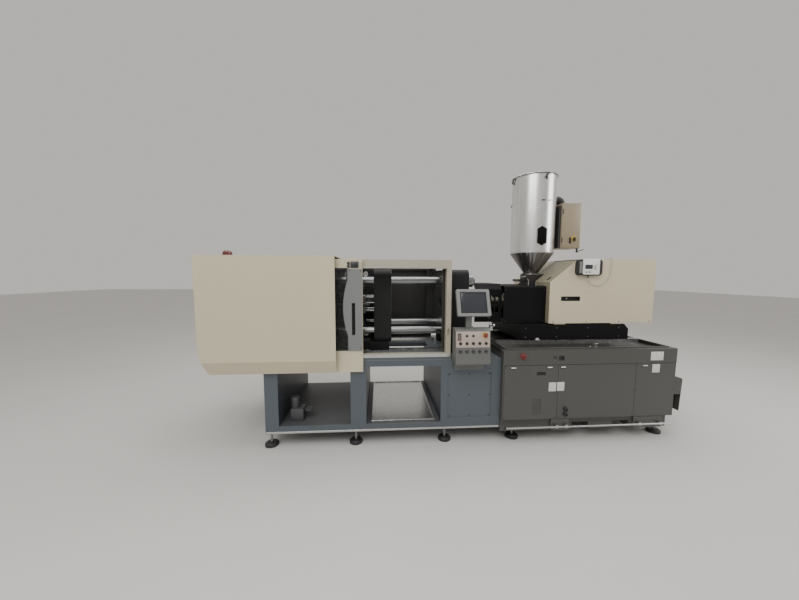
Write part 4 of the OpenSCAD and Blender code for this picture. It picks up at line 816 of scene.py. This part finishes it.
# Grease lines of the toggle: a distributor on top of the tail platen with its brass nipples.
brass = ground_steel("brass", (0.62, 0.45, 0.18), 0.30)
fit("grease_distributor", joined([
    block((985, 500, 1660), (1085, 530, 1684), 2, 2),
    block((1020, 528, 1659), (1050, 560, 1668), 1.5, 1),
]), plain_steel, "tail")
nipple = turned([(5, 0), (5, 6), (3, 7), (3, 11), (4, 13), (2, 15)],
                at(998, 515, 1683), sides=10)
fit("grease_nipples", repeated(nipple, [(25 * i, 0, 0) for i in (1, 2, 3)]), brass, "tail")

# Ejector: the motor ends in a flange.
fit("ejector_motor_flange", turned([(50, 0), (50, 8), (46, 10), (30, 10), (28, 6)],
                                   at(1305, 910, clamp_z), (-1, 0, 0)), black_oxide, "moving_platen")


# Injection carriage: a black enamelled casting on linear rails, with a black hood over the heated barrel
# and a hinged guard over the nozzle.
coat(enamel("black_enamel", (0.0055, 0.0055, 0.006), 0.50, dust=0.01, peel=0.2, gloss=0.12),
     "carriage", "barrel_guard", "purge_guard")
coat(black_oxide, "shut_off_slide")
cap_screws("carriage_screws", [
    (x, 206, z) for x in (3005, 3330, 3660, 3990) for z in (985, 1075)], to_front, 9, 6, body="carriage")
fit("carriage_lock", joined([
    turned([(17, 0), (17, 10), (13, 13), (13, 20), (6, 20)], at(3126, 206, 962), to_front),
    block((3104, 184, 955), (3150, 192, 968), 3, 3),
]), plain_steel, "carriage")
fit("tray_cocks", joined([
    turned([(12, 0), (12, 16), (8, 18), (8, 30), (11, 31), (11, 40), (5, 42)],
           at(3709, 150, 884), sides=12),
    block((3690, 143, 921), (3732, 157, 929), 3, 3),
    turned([(9, 0), (9, 12), (6, 14), (6, 26), (3, 28)], at(3652, 150, 884), sides=12),
]), plain_steel)
fit("rail_wipers", repeated(block((3017, 306, 938), (3025, 374, 957), 2, 2), [
    (208, 0, 0), (0, 520, 0), (208, 520, 0), (769, 0, 0), (977, 0, 0), (769, 520, 0), (977, 520, 0)
]), rubber, "carriage")
cap_screws("hood_screws", [
    (x, 270, z) for x in (2820, 3220) for z in (1140, 1460)], to_front, 6, 3.5, body="carriage")
fit("purge_guard_knob", turned([(6, 0), (6, 14), (14, 17), (17, 22), (17, 28), (12, 32), (5, 32)],
                               at(2652, 300, 1180), to_front), rubber, "purge_guard")

# Barrel and heaters: nitrided barrel with mica bands, each clamped by a screw and fed by a ceramic block.
coat(casting("barrel_steel", (0.10, 0.098, 0.095)), "barrel")
coat(ground_steel("heater_bands_steel", (0.46, 0.42, 0.36), 0.34, run=(1, 1, 1)), "heater_bands")
ceramic = moulded("ceramic", (0.62, 0.58, 0.50), 0.45, 0.2)
fit("heater_terminals", repeated(block((2556, 588, 1385), (2588, 612, 1402), 3, 2),
                                 [(126 * i, 0, 0) for i in range(1, 5)]), ceramic, "carriage")


# Injection cover: ivory enamelled sheet with a sloping corner towards the hopper. A pressed line runs
# above the long black finger recess.
def shaded_end(place):
    """Where the cover looks towards the hopper, up to the seam in its middle: painted shade darkens the
    sloping corner and the end wall there.
    """
    return (place.facing().part(0) < -0.3) * (place.part(1) < at(0, 591, 0).y)


coat(enamel("injection_cream", ivory, inner=shaded_end, dark=(0.255, 0.232, 0.160, 1), **cover_coat),
     "injection_cover")
fit("finger_recess_lining", sunk(block((3363.5, 210.5, 1350.5), (3561.5, 240.5, 1395.5), 1.5, 2),
                                 to_front, 2, 26), seam_and_shadow_black, "carriage")
fit("recess_button", turned([(8, 0), (8, 3), (6, 5), (3, 5)], at(3437, 238, 1374), to_front, 16),
    plain_steel, "carriage")
fit("cover_pressed_line", block((3380, 209.0, 1444), (3843, 211, 1449), 0.9, 2), cream, "carriage")
fit("cover_edge_strip", block((3243.6, 208.6, 1126), (3258, 212, 1537), 0.9, 2), cream, "carriage")
cap_screws("injection_cover_screws", [
    (x, 210, 1140) for x in (3290, 3640, 3990, 4320)], to_front, 5.5, 3, body="carriage")
fit("cover_louvres", repeated(louvre((4350, 330, 1268), (4356, 870, 1276), (1, 0, 0)),
                              [(0, 0, 30 * i) for i in range(1, 8)]), cream, "carriage")

# The sloping corner rises from the cover's left end at this height.
cover_left, slope_low = 3243, 1540
slope_angle = atan2(228, 278)
out_of_slope = (-sin(slope_angle), 0, cos(slope_angle))


def on_slope(along, y):
    """A place on the sloping corner, from its lower edge upwards, in mm."""
    return (cover_left + along * cos(slope_angle), y, slope_low + along * sin(slope_angle))


def slope_stand(along, y):
    """The frame of a drawing on the sloping corner: x up the slope, y to the back, z out of it."""
    return Matrix.Translation(at(*on_slope(along, y))) @ Matrix.Rotation(-slope_angle, 4, "Y")


fit("slope_slot", sunk(block((-26, -16, -2), (26, 16, 1.2), 0.8, 2, stand=slope_stand(52, 302)),
                       out_of_slope, 2.5, 0.7), seam_and_shadow_black, "carriage")
fit("slope_seam", joined([
    block((128, 300, -1), (356, 303, 0.6), 0.4, 1, stand=slope_stand(0, 290)),
    block((3524, 590, 1767), (4340, 593, 1768.6), 0.4, 1),
    block((344, -70, -1), (352, 290, 0.8), 0.4, 1, stand=slope_stand(0, 290)),
]), seam_and_shadow_black, "carriage")
cap_screws("slope_screws", [on_slope(a, y) for a, y in ((24, 380), (24, 820), (330, 240), (330, 960))],
           out_of_slope, 6, 3.5, "carriage")

# Display unit: a white moulded face with a small dark display and four keys, in a black rubber bumper
# with a grey grip on its left.
coat(rubber, "handheld_unit")


def rounded(width, height, radius, steps=6):
    """The outline of a rounded rectangle from its lower left corner, in mm."""
    corners = [(width - radius, radius, -90), (width - radius, height - radius, 0),
               (radius, height - radius, 90), (radius, radius, 180)]
    return [(x + radius * cos(radians(turn + 90 * i / steps)),
             y + radius * sin(radians(turn + 90 * i / steps)))
            for x, y, turn in corners for i in range(steps + 1)]


front_turn = Matrix.Rotation(radians(90), 4, "X")


def front_stand(x, y, z):
    """The frame of a drawing that faces the front: x to the right, y up, z out of it."""
    return Matrix.Translation(at(x, y, z)) @ front_turn


def cut_plate(outline, low, high, stand, edge=0.8):
    """A plate cut to an outline in mm, from a low to a high level above its stand, with broken edges."""
    clear()
    bpy.ops.mesh.primitive_circle_add(vertices=len(outline), radius=1, fill_type="NGON")
    piece = bpy.context.object
    for vertex, (x, y) in zip(piece.data.vertices, outline):
        vertex.co = (x / 1000, y / 1000, low / 1000)
    open_mesh()
    bpy.ops.mesh.extrude_region_move(TRANSFORM_OT_translate={"value": (0, 0, (high - low) / 1000)})
    bpy.ops.mesh.bevel(offset=edge / 1000, segments=2, affect="EDGES")
    close_mesh()
    piece.matrix_world = stand
    bpy.ops.object.transform_apply()
    return piece


fit("unit_face", cut_plate(rounded(169, 155, 14.5), 0, 14.5, front_stand(3541.5, 172, 1615.5), 2.0),
    white_paint, "carriage")
fit("unit_display", cut_plate(rounded(78, 42, 4), 0, 1.4, front_stand(3559, 157.8, 1670)),
    display_glass, "carriage")
fit("unit_keys", joined([
    cut_plate(rounded(22, 12, 4), 0, 2, front_stand(x, 157.8, z), 0.6)
    for x, z in ((3566, 1634), (3596, 1634), (3652, 1690), (3652, 1668))]), handle_plastic, "carriage")
fit("unit_grip", cut_plate(rounded(23, 113, 8), 0, 9, front_stand(3508.5, 171.5, 1628.5), 2.0),
    handle_plastic, "carriage")


# Hopper: polished stainless sheet, rolled and welded, on a satin cone. Smoothed copies stand for the CAD
# shell and lid, under satin skins. Two low rings, toggle latches and a six-sided window sit on the drum.
def smoothed_copy(name, node, body, finish):
    """A CAD piece's mesh, merged and smoothed, that stands for it."""
    piece = bpy.data.objects.new(name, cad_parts[node].data.copy())
    bpy.context.collection.objects.link(piece)
    pick(piece)
    open_mesh()
    bpy.ops.mesh.remove_doubles(threshold=0.00002)
    bpy.ops.mesh.dissolve_limited(angle_limit=radians(0.4))
    close_mesh()
    fit(name, piece, finish, body, angle=28)
    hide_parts(node)


hopper_x = 3243


def on_axis(z):
    """A place on the hopper's middle line, by its height above the floor in mm."""
    return at(hopper_x, middle_y, z)


mirror_steel, place = shader_place("mirror_steel")
cone = place.part(2) < at(0, 0, 1845).z
housing = place.part(2) < at(0, 0, 1619).z
roll_marks = place.noise(0.02, 3.0, stretch=(12, 12, 0.15))
drum_and_cone = cone.tint(place.noise(0.2).tint((0.78, 0.78, 0.77, 1), (0.88, 0.88, 0.87, 1)),
                          (0.23, 0.22, 0.225, 1))
close_shader(place, {
    "Base Color": housing.tint(drum_and_cone, (0.030, 0.024, 0.024, 1)),
    "Metallic": 1.0 - housing,
    "Roughness": 0.25 + cone * 0.14 + housing * 0.12 + (roll_marks - 0.5) * 0.10,
    "Normal": (place.noise(0.22, 1.0, stretch=(1, 1, 0.3)) + roll_marks * 0.04).bumps(0.10, 0.002),
})
smoothed_copy("hopper_shell", "hopper", "carriage", mirror_steel)
drum_skin = turned([(223.3, 1846), (223.3, 2639)], on_axis(0), sides=128)
pick_faces(drum_skin, lambda normal: abs(normal.z) > 0.9)
bpy.ops.mesh.delete(type="FACE")
bpy.ops.object.mode_set(mode="OBJECT")
# Vertical streaks in the colour are painted highlights of the polished drum; in roughness and bumps they
# are its rolling marks.
satin_steel, place = shader_place("satin_steel")
streaks_and_sheen = place.noise(0.05, 3.0, stretch=(1, 1, 0.05))
fine = place.noise(0.006, 3.0, stretch=(1, 1, 0.02))
close_shader(place, {
    "Base Color": (streaks_and_sheen * 1.6 - 0.3).clamped().tint((0.56, 0.555, 0.55, 1), (0.90, 0.90, 0.89, 1)),
    "Metallic": 1.0,
    "Roughness": 0.20 + streaks_and_sheen * 0.10 + fine * 0.06,
    "Normal": (streaks_and_sheen + fine * 0.05).bumps(0.12, 0.0015),
})
fit("hopper_drum_skin", drum_skin, satin_steel, "carriage", angle=60)
fit("lid_top_skin", turned([(226.4, 2662.2), (226.2, 2662.6), (60, 2674.6)], on_axis(0), sides=128),
    satin_steel, "hopper_lid", angle=20)
fit("lid_underside", turned([(231.8, 2644.1), (231.8, 2644.4)], on_axis(0), sides=128),
    plain_steel, "hopper_lid", angle=20)
smoothed_copy("hopper_cover", "hopper_lid", "hopper_lid", satin_steel)
fit("hopper_clamp_rings", joined([
    turned([(223.2, -2.5), (224.2, -1.5), (224.2, 1.5), (223.2, 2.5)], on_axis(2378), sides=64),
    turned([(223.2, -5), (226, -3.5), (226, 3.5), (223.2, 5)], on_axis(1851), sides=64),
]), plain_steel, "carriage")
fit("lid_gasket", turned([(232.2, 2645.5), (233.4, 2646.5), (233.4, 2654), (232.2, 2655.2)],
                         on_axis(0), sides=64), rubber, "hopper_lid")


def on_drum(angle, z, low, high, slant=0):
    """A block on the drum, turned from its front by an angle, its y counted from the drum's middle line."""
    stand = (Matrix.Translation(on_axis(z)) @ Matrix.Rotation(radians(angle), 4, "Z")
             @ Matrix.Rotation(radians(slant), 4, "Y"))
    return block(low, high, 2, 2, stand=stand)


fit("hopper_latches", joined([
    on_drum(angle + turn, 2378, (-half, -231 - out, -5), (half, -219, 5))
    for angle in (0, 120, 240) for turn, half, out in ((-2.6, 19, 0), (-5, 8, 4), (14.8, 8, 0))
]), black_oxide, "carriage")
fit("lid_levers", joined([
    on_drum(angle, z, low, high, slant)
    for angle in (3.5, 90, -90) for z, low, high, slant in (
        (2600, (-8, -230, -14), (8, -220, 14), 0), (2626, (-33, -240, -6), (33, -230, 6), -47))
]), black_oxide, "carriage")
sight_angle = radians(-3.5)
sight_stand = Matrix.Translation(on_axis(2016)) @ Matrix.Rotation(sight_angle, 4, "Z") @ front_turn
six_sided = [(-49, -70.6), (0, -100), (49, -70.6), (49, 70.6), (0, 100), (-49, 70.6)]
sight_frame = cut_plate([(x * 1.13, y * 1.08) for x, y in six_sided],
                        210, 226, sight_stand, 1.5)
fit("sight_window_frame", sunk(sight_frame, (sin(sight_angle), -cos(sight_angle), 0), 5, 3),
    plain_steel, "carriage")
sight_glass_finish, place = shader_place("sight_glass")
close_shader(place, {
    "Base Color": place.noise(0.02, 4.0).tint((0.002, 0.002, 0.002, 1), (0.008, 0.0075, 0.007, 1)),
    "Roughness": 0.14 + place.noise(0.05) * 0.1,
    "Specular IOR Level": 0.12,
})
fit("sight_window_glass", cut_plate([(x * 1.03, y * 1.03) for x, y in six_sided],
                                    222.5, 224.5, sight_stand, 0.5), sight_glass_finish, "carriage")

# Fittings by the shut-off housing: a bright flange edge, a feed throat sensor, an air pipe with its cock,
# all in front of the black hood's corner.
fit("throat_fittings", joined([
    block((3158, 514, 1614), (3328, 520.6, 1620.5), 1, 2),
    turned([(11, 0), (11, 18), (8, 20), (8, 38), (5, 40)], at(3163.5, 560, 1588), (-1, 0, 0), 12),
    turned([(15, 0), (15, 9), (13, 11)], at(3163.5, 560, 1588), (-1, 0, 0), 6),
    turned([(5, 0), (5, 62)], at(3140, 440, 1498), sides=12),
    turned([(8, 0), (8, 18), (6, 20)], at(3140, 440, 1498), sides=12),
    turned([(9, 0), (9, 14), (12, 16), (12, 26), (5, 28)], at(3186, 372, 1492), sides=12),
    turned([(5, 0), (5, 66)], at(3140, 440, 1555), (0.36, 1.2, 0.30), 12),
]), plain_steel, "carriage")


# Hopper dryer: a beige sheet box that faces the operator, with a door, a rotary switch on a yellow plate
# and a black latch handle. Its duct, arms and hose are dark; the hose's bend is ribbed.
def dryer_inner(place):
    """Where the dryer box is painted dark: left of its front face, and on what stands on top of it."""
    return ((place.part(0) < at(3495.8, 0, 0).x) + (place.part(2) > at(0, 0, 2374.3).z)).clamped()


beige = (0.305, 0.248, 0.170)
dryer_beige = enamel("dryer_beige", beige, 0.40, peel=0.15, dust=0.1)
coat(enamel("dryer_box_paint", beige, 0.40, dryer_inner, peel=0.15, dust=0.1,
            dark=(0.030, 0.030, 0.031, 1)), "dryer_box")
dryer_stand = Matrix.Translation(at(3712, 470, 1900))
fit("dryer_door", block((-208, -4, 6), (-6, 1, 468), 1.6, 2, stand=dryer_stand), dryer_beige, "carriage")
# A cream strip down the box's right front edge: a painted highlight on that edge.
fit("dryer_edge_highlight", block((-8, -4.8, 4), (-0.5, 0.5, 470), 1.0, 2, stand=dryer_stand), cream, "carriage")
fit("dryer_switch_plate", block((-102, -5.6, 78), (-50, -3.6, 130), 1, 2, stand=dryer_stand),
    stop_yellow, "carriage")
coat(key_black, "dryer_switch")
fit("dryer_latch", joined([
    block((-126, -7, 48), (-108, -3.5, 116), 2, 2, stand=dryer_stand),
    block((-123, -20, 54), (-111, -12, 110), 3, 3, stand=dryer_stand),
    block((-122, -13, 98), (-112, -6, 108), 1, 1, stand=dryer_stand),
]), rubber, "carriage")
hinge = turned([(6, 0), (6, 50), (4, 52)], at(3506, 467, 1960), sides=12)
fit("dryer_hinges", repeated(hinge, [(0, 0, 300)]), black_oxide, "carriage")
cock_stand = Matrix.Translation(at(3698, 492, 1866)) @ Matrix.Rotation(radians(-17), 4, "Y")
fit("dryer_drain_cock", joined([
    turned([(12, 0), (12, 10), (9, 12), (9, 34), (11, 36), (11, 44), (5, 46)],
           at(3700, 500, 1902), (0, 0, -1), 12),
    block((0, -5, -4), (78, 5, 4), 3, 3, stand=cock_stand),
]), rubber, "carriage")
bend_x, bend_z, bend_radius = 3512, 2384, 48
fit("hose_ribs", joined([
    turned([(39.5, -4), (43, -2), (43, 2), (39.5, 4)],
           at(bend_x + bend_radius * cos(a), middle_y, bend_z + bend_radius * sin(a)),
           (-sin(a), 0, cos(a)), 32)
    for a in [radians(degrees) for degrees in (8, 30, 52, 74, 90)]
]), rubber, "carriage")
